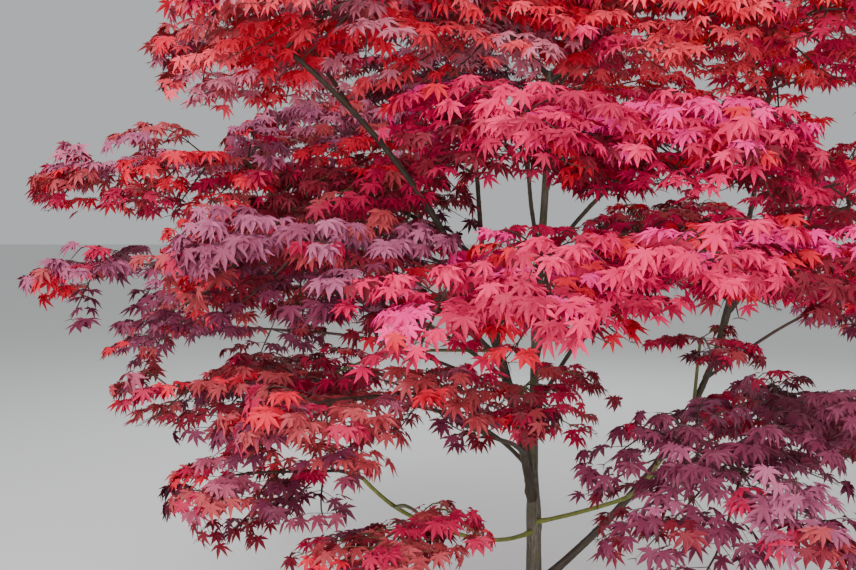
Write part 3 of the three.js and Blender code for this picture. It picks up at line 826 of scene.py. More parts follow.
@dataclass(frozen=True)
class BarkPattern:
    """The pattern that every bark shares: one node group along the limb's straightened coordinates.

    Attributes:
        name: the group's name.
        grain: fineness, stretch and detail of the grain.
        clefts: the same of the long clefts.
        patches: the same of the bloom's patches.
        tones: the same of the slow change of tone.
        dots: fineness and stretch of the lenticels.
        streak_range: grain values over which the pale streaks come in.
        cleft_range: cleft values over which the clefts come in.
        tone_range: tone values over which the streaks grow strong.
        dot_range: distances over which a lenticel comes in.
        moss_range: how far over its edge the bloom comes in.
        cleft_share: how much of the fissures' colour a cleft takes.
        moss_share: how much of the moss colour a patch takes.
        dot_share: how much of the streaks' colour a lenticel takes.
        moss_edge: noise value at which the bloom would start if it had no share.
        moss_gain: how far its share lowers that.
        roughness: of clean bark.
        moss_roughness: what the bloom adds to it.
        cleft_relief: how deep a cleft goes, against the grain.
        dot_relief: how high a lenticel stands, against the grain.
    """

    name: str = "bark_surface"
    grain: tuple[float, Triple, float] = (430, (1.0, 1.0, 0.1), 6)
    clefts: tuple[float, Triple, float] = (150, (1.0, 1.0, 0.07), 4)
    patches: tuple[float, Triple, float] = (38, (1.0, 1.0, 0.6), 6)
    tones: tuple[float, Triple, float] = (11, (1.0, 1.0, 0.8), 2)
    dots: tuple[float, Triple] = (170, (0.4, 0.4, 1.5))
    streak_range: Span = (0.47, 0.66)
    cleft_range: Span = (0.44, 0.34)
    tone_range: Span = (0.3, 0.62)
    dot_range: Span = (0.17, 0.09)
    moss_range: Span = (0.0, 0.11)
    cleft_share: float = 0.8
    moss_share: float = 0.7
    dot_share: float = 0.5
    moss_edge: float = 0.72
    moss_gain: float = 0.5
    roughness: float = 0.62
    moss_roughness: float = 0.12
    cleft_relief: float = 0.7
    dot_relief: float = 0.3

    def group(self) -> bpy.types.NodeTree:
        """Makes the node group, once.

        Returns:
            A group that gives colour, roughness and height.
        """
        known = bpy.data.node_groups.get(self.name)
        if known:
            return known
        group = GroupBuilder(self.name)
        for name in ("Base", "Streak", "Fissure", "Moss"):
            group.take(name, "NodeSocketColor")
        group.take("Moss Share", "NodeSocketFloat")
        group.give("Color", "NodeSocketColor")
        group.give("Roughness", "NodeSocketFloat")
        group.give("Height", "NodeSocketFloat")
        grain = group.noise(*self.grain)
        cleft = group.ramp(group.noise(*self.clefts), *self.cleft_range)
        patch = group.noise(*self.patches)
        tone = group.ramp(group.noise(*self.tones), *self.tone_range)
        dot = group.ramp(self._dot_distance(group), *self.dot_range)
        gain = group.maths("MULTIPLY", group.entry.outputs["Moss Share"], self.moss_gain)
        edge = group.maths("SUBTRACT", self.moss_edge, gain)
        moss = group.ramp(group.maths("SUBTRACT", patch, edge), *self.moss_range)
        streak = group.maths("MULTIPLY", group.ramp(grain, *self.streak_range), tone)
        covers = (
            ("Streak", streak),
            ("Fissure", group.maths("MULTIPLY", cleft, self.cleft_share)),
            ("Moss", group.maths("MULTIPLY", moss, self.moss_share)),
            ("Streak", group.maths("MULTIPLY", dot, self.dot_share)),
        )
        colour = group.entry.outputs["Base"]
        for name, cover in covers:
            colour = group.blend(cover, colour, group.entry.outputs[name])
        group.link(colour, group.exit.inputs["Color"])
        added = group.maths("MULTIPLY", moss, self.moss_roughness)
        group.link(group.maths("ADD", added, self.roughness), group.exit.inputs["Roughness"])
        ridges = group.maths("SUBTRACT", grain, group.maths("MULTIPLY", cleft, self.cleft_relief))
        relief = group.maths("ADD", ridges, group.maths("MULTIPLY", dot, self.dot_relief))
        group.link(relief, group.exit.inputs["Height"])
        return group.tree

    def _dot_distance(self, group: GroupBuilder) -> bpy.types.NodeSocket:
        """Measures how far each place is from the nearest lenticel.

        Args:
            group: the group that it goes into.

        Returns:
            The distance.
        """
        fineness, stretch = self.dots
        cells = group.node("ShaderNodeTexVoronoi", feature="F1")
        cells.inputs["Scale"].default_value = fineness
        group.link(group.stretched(stretch), cells.inputs["Vector"])
        return cells.outputs["Distance"]


@dataclass(frozen=True)
class BarkFinish:
    """Bark with pale streaks, lenticels and a green bloom of algae.

    Attributes:
        name: the material's name.
        base: the bark's colour, sRGB.
        streak: its pale streaks' colour, sRGB.
        fissure: the colour of its fine clefts, sRGB.
        moss: the bloom's colour, sRGB.
        moss_share: how much of the bark it covers.
        relief: height of the fine relief, in metres.
        strength: how much of that relief shows.
        specular: strength of its gloss.
        pattern: the pattern that it shares with the other barks.
    """

    name: str
    base: Triple
    streak: Triple
    fissure: Triple
    moss: Triple
    moss_share: float
    relief: float = 0.0006
    strength: float = 0.9
    specular: float = 0.3
    pattern: BarkPattern = BarkPattern()

    def material(self) -> bpy.types.Material:
        """Makes the finish's material, once.

        Returns:
            The material, with the bark group in it.
        """
        known = bpy.data.materials.get(self.name)
        if known:
            return known
        made = bpy.data.materials.new(self.name)
        made.use_nodes = True
        tree = made.node_tree
        shader = principled(made)
        surface = tree.nodes.new("ShaderNodeGroup")
        surface.node_tree = self.pattern.group()
        colours = {"Base": self.base, "Streak": self.streak, "Fissure": self.fissure, "Moss": self.moss}
        for name, colour in colours.items():
            surface.inputs[name].default_value = linear(*colour)
        surface.inputs["Moss Share"].default_value = self.moss_share
        bump = tree.nodes.new("ShaderNodeBump")
        bump.inputs["Distance"].default_value = self.relief
        bump.inputs["Strength"].default_value = self.strength
        tree.links.new(surface.outputs["Color"], shader.inputs["Base Color"])
        tree.links.new(surface.outputs["Roughness"], shader.inputs["Roughness"])
        tree.links.new(surface.outputs["Height"], bump.inputs["Height"])
        tree.links.new(bump.outputs["Normal"], shader.inputs["Normal"])
        shader.inputs["Specular IOR Level"].default_value = self.specular
        return made


# painted shade: the trunk's grey and the stems' brown bark are made darker for the shade of the crown above
# them
SHADED_TRUNK_BARK = BarkFinish(
    "bark_trunk_grey", (74, 67, 58), (120, 113, 99), (36, 31, 26), (74, 78, 46), 0.32, 0.0012
)
SHADED_STEM_BARK = BarkFinish("bark_stem_brown", (52, 43, 36), (86, 76, 62), (26, 21, 18), (60, 62, 38), 0.26)
BOUGH_BARK = BarkFinish("bark_bough_olive", (54, 45, 35), (88, 78, 58), (30, 25, 20), (66, 66, 38), 0.3)
GREEN_BARK = BarkFinish("bark_bough_green", (102, 108, 44), (142, 144, 80), (62, 62, 34), (92, 102, 38), 0.4)

LIMB_FINISHES = {
    "trunk": SHADED_TRUNK_BARK,
    "stem_left": SHADED_STEM_BARK,
    "stem_right": SHADED_STEM_BARK,
    "stem_back": SHADED_STEM_BARK,
    "bough_ground_right": GREEN_BARK,
    "bough_ground_left": GREEN_BARK,
}


# Meshes


def put_in_scene(name: str, data: bpy.types.ID) -> bpy.types.Object:
    """Makes an object for a mesh, a light or a camera and puts it in the scene.

    Args:
        name: the object's name.
        data: what it holds.

    Returns:
        The object.
    """
    made = bpy.data.objects.new(name, data)
    bpy.context.scene.collection.objects.link(made)
    return made


def stacked(vectors: Iterable[Vector]) -> np.ndarray:
    """Vectors as the rows of an array."""
    return np.array([tuple(vector) for vector in vectors])


def place_of_least(values: Sequence[float]) -> int:
    """Where the smallest of some values stands."""
    return min(range(len(values)), key=values.__getitem__)


@dataclass
class MeshSink:
    """Gathers points and faces of many small parts into one mesh.

    Attributes:
        points: the points of each part.
        faces: the triangles of each, as numbers of the whole mesh's points.
        slots: the material slot of each triangle.
        count: of all points so far.
    """

    points: list[np.ndarray] = field(default_factory=list)
    faces: list[np.ndarray] = field(default_factory=list)
    slots: list[np.ndarray] = field(default_factory=list)
    count: int = 0

    def add(self, points: np.ndarray, faces: np.ndarray, slot: int | np.ndarray = 0) -> None:
        """Adds a part.

        Args:
            points: its points, one a row.
            faces: its triangles, as rows of its own point numbers.
            slot: material slot of all or of each of its triangles.
        """
        self.points.append(points)
        self.faces.append(faces + self.count)
        self.slots.append(np.broadcast_to(slot, len(faces)))
        self.count += len(points)

    def build(self, name: str, materials: Iterable[bpy.types.Material]) -> bpy.types.Object:
        """Makes the mesh and its object.

        Args:
            name: the object's name.
            materials: its material slots, in order.

        Returns:
            The object, in the scene.
        """
        points = np.concatenate(self.points).astype(np.float32)
        faces = np.concatenate(self.faces).astype(np.int32)
        mesh = bpy.data.meshes.new(name)
        mesh.vertices.add(len(points))
        mesh.vertices.foreach_set("co", points.ravel())
        mesh.loops.add(faces.size)
        mesh.loops.foreach_set("vertex_index", faces.ravel())
        mesh.polygons.add(len(faces))
        mesh.polygons.foreach_set("loop_start", np.arange(0, faces.size, 3, dtype=np.int32))
        mesh.polygons.foreach_set("material_index", np.concatenate(self.slots).astype(np.int32))
        mesh.update(calc_edges=True)
        mesh.validate()
        for material in materials:
            mesh.materials.append(material)
        return put_in_scene(name, mesh)


def frames_along(points: Sequence[Vector]) -> list[tuple[Vector, Vector]]:
    """Finds two directions square to a line at each of its points, that don't twist along it.

    Args:
        points: the line's points.

    Returns:
        The two directions at each point.
    """
    tangents = []
    for i in range(len(points)):
        tangents.append((points[min(i + 1, len(points) - 1)] - points[max(i - 1, 0)]).normalized())
    side = tangents[0].cross(UP if abs(tangents[0].x) > ALONG_RIGHT else RIGHT).normalized()
    made = []
    for tangent in tangents:
        side = (side - tangent * side.dot(tangent)).normalized()
        made.append((side, tangent.cross(side)))
    return made


def tube_faces(rings: int, sides: int) -> list[Face]:
    """Makes the triangles between some rings of points.

    Args:
        rings: count of rings.
        sides: count of points in a ring.

    Returns:
        The triangles, as point numbers.
    """
    faces = []
    for ring in range(rings - 1):
        for k in range(sides):
            here, after = ring * sides + k, ring * sides + (k + 1) % sides
            faces += [(here, after, after + sides), (here, after + sides, here + sides)]
    return faces


def thin_tube(points: Sequence[Vector], radii: Sequence[float], sides: int = 3) -> Mesh:
    """Makes a thin twig along a line, closed by a point at its end.

    Args:
        points: its middle line.
        radii: at each point but the last, where it ends in a point.
        sides: count of its sides.

    Returns:
        Its points, and its triangles.
    """
    rings = []
    for (side, other), centre, radius in zip(frames_along(points), points[:-1], radii):
        for k in range(sides):
            angle = math.tau * k / sides
            rings.append(centre + side * (math.cos(angle) * radius) + other * (math.sin(angle) * radius))
    rings.append(points[-1])
    last, tip = len(points) - 2, len(rings) - 1
    faces = tube_faces(len(points) - 1, sides)
    faces += [(last * sides + k, last * sides + (k + 1) % sides, tip) for k in range(sides)]
    return stacked(rings), np.array(faces)


def smooth_line(points: Sequence[Vector], steps: int) -> list[Vector]:
    """Draws a smooth line through some points.

    Args:
        points: the points that it passes.
        steps: count of steps between each two.

    Returns:
        The line's points, the given ones among them.
    """
    made = []
    for i in range(len(points) - 1):
        before = points[max(i - 1, 0)]
        low, high = points[i], points[i + 1]
        after = points[min(i + 2, len(points) - 1)]
        out = (high - before) * 0.5 if i else high - low
        into = (after - low) * 0.5 if i + 2 < len(points) else high - low
        for k in range(steps):
            share = k / steps
            square, cube = share**2, share**3
            from_low, leaving = 2 * cube - 3 * square + 1, cube - 2 * square + share
            to_high, arriving = -2 * cube + 3 * square, cube - square
            made.append(low * from_low + out * leaving + high * to_high + into * arriving)
    made.append(points[-1].copy())
    return made


def along_line(line: Sequence[Vector], share: float) -> tuple[Vector, float, float]:
    """Finds a place on a line.

    Args:
        line: the line's points.
        share: how far along it, from 0 to 1.

    Returns:
        The point, and the line's heading and downward slope there in radians.
    """
    place = min(max(share, 0.0), LINE_END) * (len(line) - 1)
    step = int(place)
    low, high = line[step], line[step + 1]
    off = high - low
    heading = math.atan2(off.y, off.x)
    slope = -math.atan2(off.z, math.hypot(off.x, off.y))
    return low.lerp(high, place - step), heading, slope


# Bark skins


def ring_sides(name: str) -> int:
    """Tells how many points a ring of a limb's bark has.

    Args:
        name: the limb's.

    Returns:
        The count.
    """
    if name == "trunk":
        return TRUNK_SIDES
    return STEM_SIDES if name.startswith("stem") else BOUGH_SIDES


@dataclass(frozen=True)
class Knot:
    """A small swelling where a twig once stood.

    Attributes:
        share: its place along the limb, from 0 to 1.
        turned: how far round the limb it stands, in radians.
        height: against the limb's radius.
    """

    share: float
    turned: float
    height: float


@dataclass(frozen=True)
class Ridges:
    """Long ridges that snake along a limb.

    Attributes:
        count: how many stand round it.
        sway: how far they snake round it, in radians.
        rate: how often they snake, in radians a metre.
        weight: of the relief.
    """

    count: int
    sway: float
    rate: float
    weight: float


@dataclass
class BarkSkin:
    """A limb's bark as a fine mesh with ridges, knots, ring scars and a swollen collar.

    Attributes:
        limb: the limb that it clothes.
        parent: the limb that this one grows on, if any.
        step: length between rings.
        fit: of the plain radius, so that the relief stays about the solid's surface.
        parent_steps: steps that the parent's line is measured by.
        collar_swell: how much the limb swells where it leaves its parent.
        collar_reach: how far out of the parent's surface the swelling goes.
        collar_end: length of limb that a collar can take.
        collar_root: how deep inside the parent the swelling starts, against the parent's radius.
        collar_limit: the widest that a collar gets, against the parent's radius.
        knot_step: length between knots.
        knot_stray: how far a knot strays, as a share of that length.
        knot_height: against the radius, and how much it strays.
        knot_length: how long a knot is.
        knot_reach: how many of those lengths its foot takes.
        knot_power: how narrow it is round the limb.
        scar_step: length between the leaf scars that ring a bough.
        scar_swell: how much it swells there.
        scar_width: of a scar, as a share of that length.
        relief: depth of all the relief below, as a share of the radius.
        twist: how far the ridges wind, in radians, and how often, in radians a metre.
        ridges: the coarse and the fine ridges.
        lumps: weight of the lumps, their count round the limb, lean and rate along it.
    """

    limb: Limb
    parent: Limb | None
    step: float = 0.009
    fit: float = 0.985
    parent_steps: int = 400
    collar_swell: float = 0.6
    collar_reach: float = 0.024
    collar_end: float = 0.3
    collar_root: float = 0.6
    collar_limit: float = 0.95
    knot_step: float = 0.16
    knot_stray: float = 0.3
    knot_height: Span = (0.16, 0.09)
    knot_length: float = 0.014
    knot_reach: float = 3.0
    knot_power: int = 3
    scar_step: float = 0.062
    scar_swell: float = 0.1
    scar_width: float = 0.05
    relief: float = 0.045
    twist: Span = (0.5, 3.1)
    ridges: tuple[Ridges, Ridges] = (Ridges(5, 1.3, 19, 0.6), Ridges(11, 2.1, 31, 0.4))
    lumps: tuple[float, int, float, float] = (0.7, 2, 7, 23)

    def __post_init__(self) -> None:
        """Counts the sides, measures the limbs, and draws where ridges, lumps and knots stand."""
        self.sides = ring_sides(self.limb.name)
        self.length = self.limb.length()
        dice = Dice(self.limb.name + " bark")
        self.twist_phase = dice.roll() * math.tau
        self.ridge_phases = [(dice.roll() * math.tau, dice.roll() * math.tau) for _ in self.ridges]
        self.lump_phases = (dice.roll() * math.tau, dice.roll() * math.tau)
        count = max(1, round(self.length / self.knot_step))
        self.knots = []
        for i in range(count):
            share = dice.near((i + 0.5) / count, self.knot_stray / count)
            self.knots.append(Knot(share, dice.roll() * math.tau, dice.near(*self.knot_height)))
        self.parent_line = self.parent.points(self.parent_steps) if self.parent else []

    def _clearance(self, centre: Vector) -> Span:
        """Measures a point against the parent.

        Args:
            centre: a point on this limb's middle line.

        Returns:
            How far it stands out of the parent's surface, and the parent's radius there.
        """
        gaps = [(place - centre).length for place in self.parent_line]
        nearest = place_of_least(gaps)
        radius = self.parent.radius(nearest / self.parent_steps, 0.0)
        return gaps[nearest] - radius, radius

    def _collar(self, centre: Vector, share: float, far: float) -> float:
        """Works out how much the limb swells where it leaves its parent.

        Args:
            centre: a point on the limb's middle line.
            share: how far along the limb it is, from 0 to 1.
            far: the same as a length.

        Returns:
            The swollen radius against the plain one.
        """
        if not self.parent or far > self.collar_end:
            return 1.0
        outside, parent_radius = self._clearance(centre)
        swell = self.collar_swell * math.exp(-max(outside, 0.0) / self.collar_reach)
        swell *= smoothstep(outside, -self.collar_root * parent_radius, 0.0)
        widest = self.collar_limit * parent_radius / self.limb.radius(share, 0.0)
        return min(1 + swell, max(1.0, widest))

    def _relief(self, share: float, angle: float, along: float) -> float:
        """Works out the bark's relief.

        Args:
            share: how far along the limb, from 0 to 1.
            angle: how far round it, in radians.
            along: how far along it, as a length.

        Returns:
            The skin's radius against the plain one.
        """
        turn, turn_rate = self.twist
        twist = angle + turn * math.sin(turn_rate * along + self.twist_phase)
        height = 0.0
        for ridges, (start, bend) in zip(self.ridges, self.ridge_phases):
            snake = ridges.sway * math.sin(ridges.rate * along + bend)
            height += ridges.weight * math.sin(ridges.count * twist + start + snake)
        weight, count, lean_rate, rate = self.lumps
        lean, wave = self.lump_phases
        lump = math.sin(count * angle + lean_rate * along + lean) * math.sin(rate * along + wave)
        relief = 1 + self.relief * (height + weight * lump)
        if self.parent:
            ring = (along / self.scar_step) % 1.0
            relief += self.scar_swell * math.exp(-((min(ring, 1 - ring) / self.scar_width) ** 2))
        for knot in self.knots:
            off = (share - knot.share) * self.length / self.knot_length
            if abs(off) < self.knot_reach:
                round_it = max(0.0, math.cos(angle - knot.turned)) ** self.knot_power
                relief += knot.height * math.exp(-(off**2)) * round_it
        return relief

    def _rings(self) -> tuple[list[Vector], list[Triple]]:
        """Makes the skin's points.

        Returns:
            The points, ring after ring and then the foot's and the tip's middle, and each
            point's place in the limb's own straightened coordinates.
        """
        count = round(self.length / self.step)
        centres = self.limb.points(count)
        along = np.cumsum([0.0] + step_lengths(centres))
        points, straightened = [], []
        for i, (centre, axes, far) in enumerate(zip(centres, frames_along(centres), along)):
            share = i / count
            side, other = axes if self.parent else TRUNK_AXES
            scale = self._collar(centre, share, far) * self.fit
            for k in range(self.sides):
                angle = math.tau * k / self.sides
                radius = self.limb.radius(share, angle) * self._relief(share, angle, far) * scale
                x, y = math.cos(angle) * radius, math.sin(angle) * radius
                points.append(centre + side * x + other * y)
                straightened.append((x, y, far))
        cap = (centres[-1] - centres[-2]).normalized() * (self.limb.radius(1, 0) / 2)
        points += [centres[0], centres[-1] + cap]
        straightened += [(0, 0, 0), (0, 0, along[-1])]
        return points, straightened

    def build(self) -> bpy.types.Object:
        """Makes the skin and dresses it in its bark.

        Returns:
            The skin's object, which replaces the limb's solid.
        """
        points, straightened = self._rings()
        sides = self.sides
        rings = (len(points) - 2) // sides
        foot, tip, last = len(points) - 2, len(points) - 1, (rings - 1) * sides
        faces = tube_faces(rings, sides)
        for k in range(sides):
            after = (k + 1) % sides
            faces += [(foot, after, k), (tip, last + k, last + after)]
        sink = MeshSink()
        sink.add(stacked(points), np.array(faces))
        finish = LIMB_FINISHES.get(self.limb.name, BOUGH_BARK)
        made = sink.build(f"bark_{self.limb.name}", [finish.material()])
        attribute = made.data.attributes.new(STRAIGHTENED, "FLOAT_VECTOR", "POINT")
        attribute.data.foreach_set("vector", np.array(straightened, dtype=np.float32).ravel())
        made.data.polygons.foreach_set("use_smooth", [True] * len(made.data.polygons))
        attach(made, ROOT_BODY)
        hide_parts(self.limb.name)
        return made


# Leaves


@dataclass(frozen=True)
class Lobe:
    """One lobe of a leaf.

    Attributes:
        angle: off the middle lobe, in degrees.
        length: from the hub to its tip.
        half: half its width.
        widest: share of its length where it is widest.
    """

    angle: float
    length: float
    half: float
    widest: float


@dataclass
class LeafShape:
    """A leaf's points and triangles in units of its middle lobe: x ahead, y to its side, z up.

    Attributes:
        number: which of the slightly different shapes this is.
        middle_lobe: the one that points ahead.
        side_lobes: those of one side, from the middle outwards. The other side mirrors them.
        side_notches: the places after each of them: angle in degrees, distance from the hub.
        short: lobes shorter than this have no shoulders.
        droops: how far the blade hangs, against the distance squared, and how much that strays.
        folds: how high the lobes' shoulders stand, and how much that strays.
        curls: how far one side rises above the other, and how much that strays.
        notch_lift: how high the notches stand.
        tip_lift: how high a tip stands, against its distance.
        lobe_turn: how far a lobe strays round the hub, in degrees.
        lobe_stray: how much its length strays, against 1.
    """

    number: int
    middle_lobe: Lobe = Lobe(0, 1.0, 0.13, 0.48)
    side_lobes: tuple[Lobe, ...] = (
        Lobe(39, 0.94, 0.122, 0.47),
        Lobe(79, 0.7, 0.1, 0.46),
        Lobe(121, 0.34, 0.07, 0.5),
    )
    side_notches: tuple[Span, ...] = ((19.5, 0.3), (59, 0.25), (100, 0.19), (158, 0.1))
    short: float = 0.5
    droops: Span = (0.2, 0.12)
    folds: Span = (0.035, 0.03)
    curls: Span = (0.0, 0.08)
    notch_lift: float = -0.01
    tip_lift: float = -0.04
    lobe_turn: float = 4.0
    lobe_stray: float = 0.07

    def __post_init__(self) -> None:
        """Draws the shape's droop, fold and curl, and makes its points and triangles."""
        dice = Dice(f"leaf kind {self.number}")
        self.droop = dice.near(*self.droops)
        self.fold = dice.near(*self.folds)
        self.curl = dice.near(*self.curls)
        self.spots: list[Triple] = [(0.0, 0.0, 0.0)]
        mirrored = [replace(lobe, angle=-lobe.angle) for lobe in reversed(self.side_lobes)]
        lobes = [*mirrored, self.middle_lobe, *self.side_lobes]
        notches = [(-angle, far) for angle, far in reversed(self.side_notches)]
        corners = []
        for angle, far in [*notches, *self.side_notches]:
            turned = math.radians(angle)
            corners.append(self._put(math.cos(turned) * far, math.sin(turned) * far, self.notch_lift))
        faces: list[Face] = []
        for lobe, low, high in zip(lobes, corners, corners[1:]):
            faces += self._lobe_faces(lobe, low, high, dice)
        self.points = np.array(self.spots)
        self.faces = np.array(faces)

    def _put(self, x: float, y: float, lift: float) -> int:
        """Adds a point.

        Args:
            x: how far ahead it is.
            y: how far to the side.
            lift: how far above the drooping blade.

        Returns:
            The point's number.
        """
        far = math.hypot(x, y)
        self.spots.append((x, y, lift - self.droop * far * far + self.curl * y * abs(y)))
        return len(self.spots) - 1

    def _lobe_faces(self, lobe: Lobe, low: int, high: int, dice: Dice) -> list[Face]:
        """Adds a lobe.

        Args:
            lobe: its sizes.
            low: number of the notch before it.
            high: number of the notch after it.
            dice: where its strays come from.

        Returns:
            Its triangles.
        """
        turned = math.radians(lobe.angle + dice.near(0, self.lobe_turn))
        reach = lobe.length * dice.near(1, self.lobe_stray)
        ahead = (math.cos(turned), math.sin(turned))
        tip = self._put(ahead[0] * reach, ahead[1] * reach, self.tip_lift * reach)
        if lobe.length <= self.short:
            return [(0, low, tip), (0, tip, high)]
        shoulders = []
        for hand in reversed(HANDS):
            x = ahead[0] * reach * lobe.widest - ahead[1] * lobe.half * hand
            y = ahead[1] * reach * lobe.widest + ahead[0] * lobe.half * hand
            shoulders.append(self._put(x, y, self.fold))
        first, second = shoulders
        return [(0, low, first), (0, first, tip), (0, tip, second), (0, second, high)]

    def placed(self, leaves: Sequence[Leaf]) -> SlottedMesh:
        """Puts this shape wherever a leaf of its kind stands.

        Args:
            leaves: the leaves of this shape.

        Returns:
            Their points, triangles and material slots.
        """
        axes = np.array([stacked(leaf.axes) for leaf in leaves])
        hubs = stacked(leaf.hub for leaf in leaves)
        lengths = np.array([leaf.length for leaf in leaves])
        points = np.einsum("pk,nkc->npc", self.points, axes) * lengths[:, None, None] + hubs[:, None, :]
        faces = self.faces[None] + (np.arange(len(leaves)) * len(self.points))[:, None, None]
        slots = np.repeat([leaf.tint for leaf in leaves], len(self.faces))
        return points.reshape(-1, 3), faces.reshape(-1, 3), slots


@dataclass
class Leaf:
    """One leaf in place.

    Attributes:
        node: where its stalk leaves the twig.
        hub: where its blade starts.
        axes: its blade's ahead, side and up directions.
        length: its middle lobe.
        tint: number of its tint.
        shape: number of its shape.
    """

    node: Vector
    hub: Vector
    axes: tuple[Vector, Vector, Vector]
    length: float
    tint: int
    shape: int


def placed_stalks(leaves: Sequence[Leaf], width: float) -> SlottedMesh:
    """Makes all leaf stalks, as narrow ribbons.

    Args:
        leaves: the leaves that they bear.
        width: of a ribbon.

    Returns:
        Their points, triangles and material slots.
    """
    sides = stacked(leaf.axes[1] for leaf in leaves) * (width / 2)
    nodes = stacked(leaf.node for leaf in leaves)
    hubs = stacked(leaf.hub for leaf in leaves)
    points = np.stack([nodes - sides, nodes + sides, hubs + sides, hubs - sides], axis=1)
    ribbon = np.array([[0, 1, 2], [0, 2, 3]])
    faces = ribbon[None] + (np.arange(len(leaves)) * points.shape[1])[:, None, None]
    slots = np.repeat([leaf.tint for leaf in leaves], len(ribbon))
    return points.reshape(-1, 3), faces.reshape(-1, 3), slots


# Foliage


@dataclass
class Space:
    """The room that a mass keeps to: an ellipsoid with an uneven, slightly tilted rim.

    Attributes:
        row: the mass.
        rim_waves: how often each wave of the rim goes round, and its size.
        tilt_waves: the same for the middle level's rise and fall.
        sag: how far the rim hangs, as a share of the upper radius.
    """

    row: MassRow
    rim_waves: tuple[Span, ...] = ((2, 0.045), (3, 0.06), (5, 0.05))
    tilt_waves: tuple[Span, ...] = ((1, 0.2), (3, 0.13))
    sag: float = 0.12

    def __post_init__(self) -> None:
        """Works out the axes and draws where the waves begin."""
        self.centre = Vector(self.row.centre)
        self.radii = self.row.radii
        self.turn = math.radians(self.row.turn)
        self.ahead = Vector((math.cos(self.turn), math.sin(self.turn), 0))
        self.side = UP.cross(self.ahead)
        dice = Dice(self.row.name + " rim")
        self.rim_phases = [dice.roll() * math.tau for _ in self.rim_waves]
        self.tilt_phases = [dice.roll() * math.tau for _ in self.tilt_waves]

    def _rim(self, around: float) -> float:
        """The rim's radius at an angle round the centre, against the plain ellipse's."""
        waves = zip(self.rim_waves, self.rim_phases)
        return 1 + sum(size * math.sin(count * around + phase) for (count, size), phase in waves)

    def _tilt(self, around: float, reach: float) -> float:
        """Works out how far the middle level rises or sags.

        Args:
            around: angle round the centre, in radians.
            reach: how far out, 1 at the rim.

        Returns:
            The rise, as a share of the upper radius.
        """
        waves = zip(self.tilt_waves, self.tilt_phases)
        tilt = sum(size * math.sin(count * around + phase) for (count, size), phase in waves)
        return min(reach, 1.0) * tilt - self.sag * reach * reach

    def depth(self, point: Vector) -> float:
        """Tells how far out a point lies.

        Args:
            point: any point.

        Returns:
            0 at the centre, 1 on the surface.
        """
        off = point - self.centre
        long, wide, tall = self.radii
        along, across = off.dot(self.ahead) / long, off.dot(self.side) / wide
        around = math.atan2(across, along)
        reach = math.hypot(along, across) / self._rim(around)
        return math.hypot(reach, off.z / tall - self._tilt(around, reach))

    def place(self, along: float, across: float, up: float) -> Vector:
        """Finds a point by its shares of the radii.

        Args:
            along: along the spine.
            across: to its side.
            up: above the middle level.

        Returns:
            The point.
        """
        long, wide, tall = self.radii
        around = math.atan2(across, along)
        rim = self._rim(around)
        rise = tall * (up + self._tilt(around, math.hypot(along, across)))
        return self.centre + self.ahead * (along * long * rim) + self.side * (across * wide * rim) + UP * rise


@dataclass(frozen=True)
class Layer:
    """One of the flat layers that a mass's boughlets form.

    Attributes:
        level: height of its boughlets' ends, as a share of the space there.
        reach: how far out they end, as a share of the radii.
        spread: how much their reach strays.
        arch: height of their arch, as a share of the upper radius.
    """

    level: float
    reach: float
    spread: float
    arch: float


@dataclass(frozen=True)
class StemHabit:
    """How a mass's stem reaches its heart and runs on as its spine.

    Attributes:
        arch: height of the stem's arch, against the way to the heart.
        bend: share of that way where it arches.
        spine: where the heart and the spine's far point stand, as shares of the mass's radius.
        spine_level: their height, as a share of the upper radius.
        spine_stray: how far they stray across the mass.
        end: where the spine ends, as shares of the radii: along the mass, and up.
        end_stray: how far that strays across the mass.
        steps: smooth steps between each two points.
        radii: at the limb and at the spine's end.
        taper: power of its taper.
        sides: of its tube.
        bare_share: of the spine, before its first twigs.
        tip_steps: steps that the spray at its end takes.
    """

    arch: float = 0.06
    bend: float = 0.55
    spine: Span = (-0.45, 0.42)
    spine_level: float = 0.35
    spine_stray: float = 0.08
    end: Span = (0.86, 0.12)
    end_stray: float = 0.1
    steps: int = 6
    radii: Span = (0.007, 0.0016)
    taper: float = 1.2
    sides: int = 6
    bare_share: float = 0.03
    tip_steps: int = 4


@dataclass(frozen=True)
class BoughletHabit:
    """How boughlets grow from a mass's spine towards its rim.

    Attributes:
        area: of the space's level outline, for each boughlet.
        fewest: boughlets of the smallest mass.
        turn_stray: how far one strays round the mass, against the gap between two.
        farthest: the farthest that one ends, as a share of the radii.
        level_stray: how far its end strays up or down, as a share of the upper radius.
        lag: how far back it starts, against how far it goes aside, and how much that strays.
        last_start: the farthest along the spine that one starts.
        shortest: nothing shorter is grown.
        lean: how far its arch leans ahead, against its length.
        steps: smooth steps between each two points.
        radii: at the base of the shortest, and of a long one.
        long: the length of a long one.
        tip_radius: at its end.
        sides: of its tube.
        bare_share: of its length, before its first twigs.
        tip_share: of its length, before the spray at its end.
    """

    area: float = 0.0245
    fewest: int = 2
    turn_stray: float = 0.3
    farthest: float = 0.97
    level_stray: float = 0.07
    lag: Span = (0.75, 0.15)
    last_start: float = 0.7
    shortest: float = 0.06
    lean: float = 0.06
    steps: int = 4
    radii: Span = (0.0016, 0.0042)
    long: float = 0.4
    tip_radius: float = 0.0011
    sides: int = 4
    bare_share: float = 0.25
    tip_share: float = 0.88


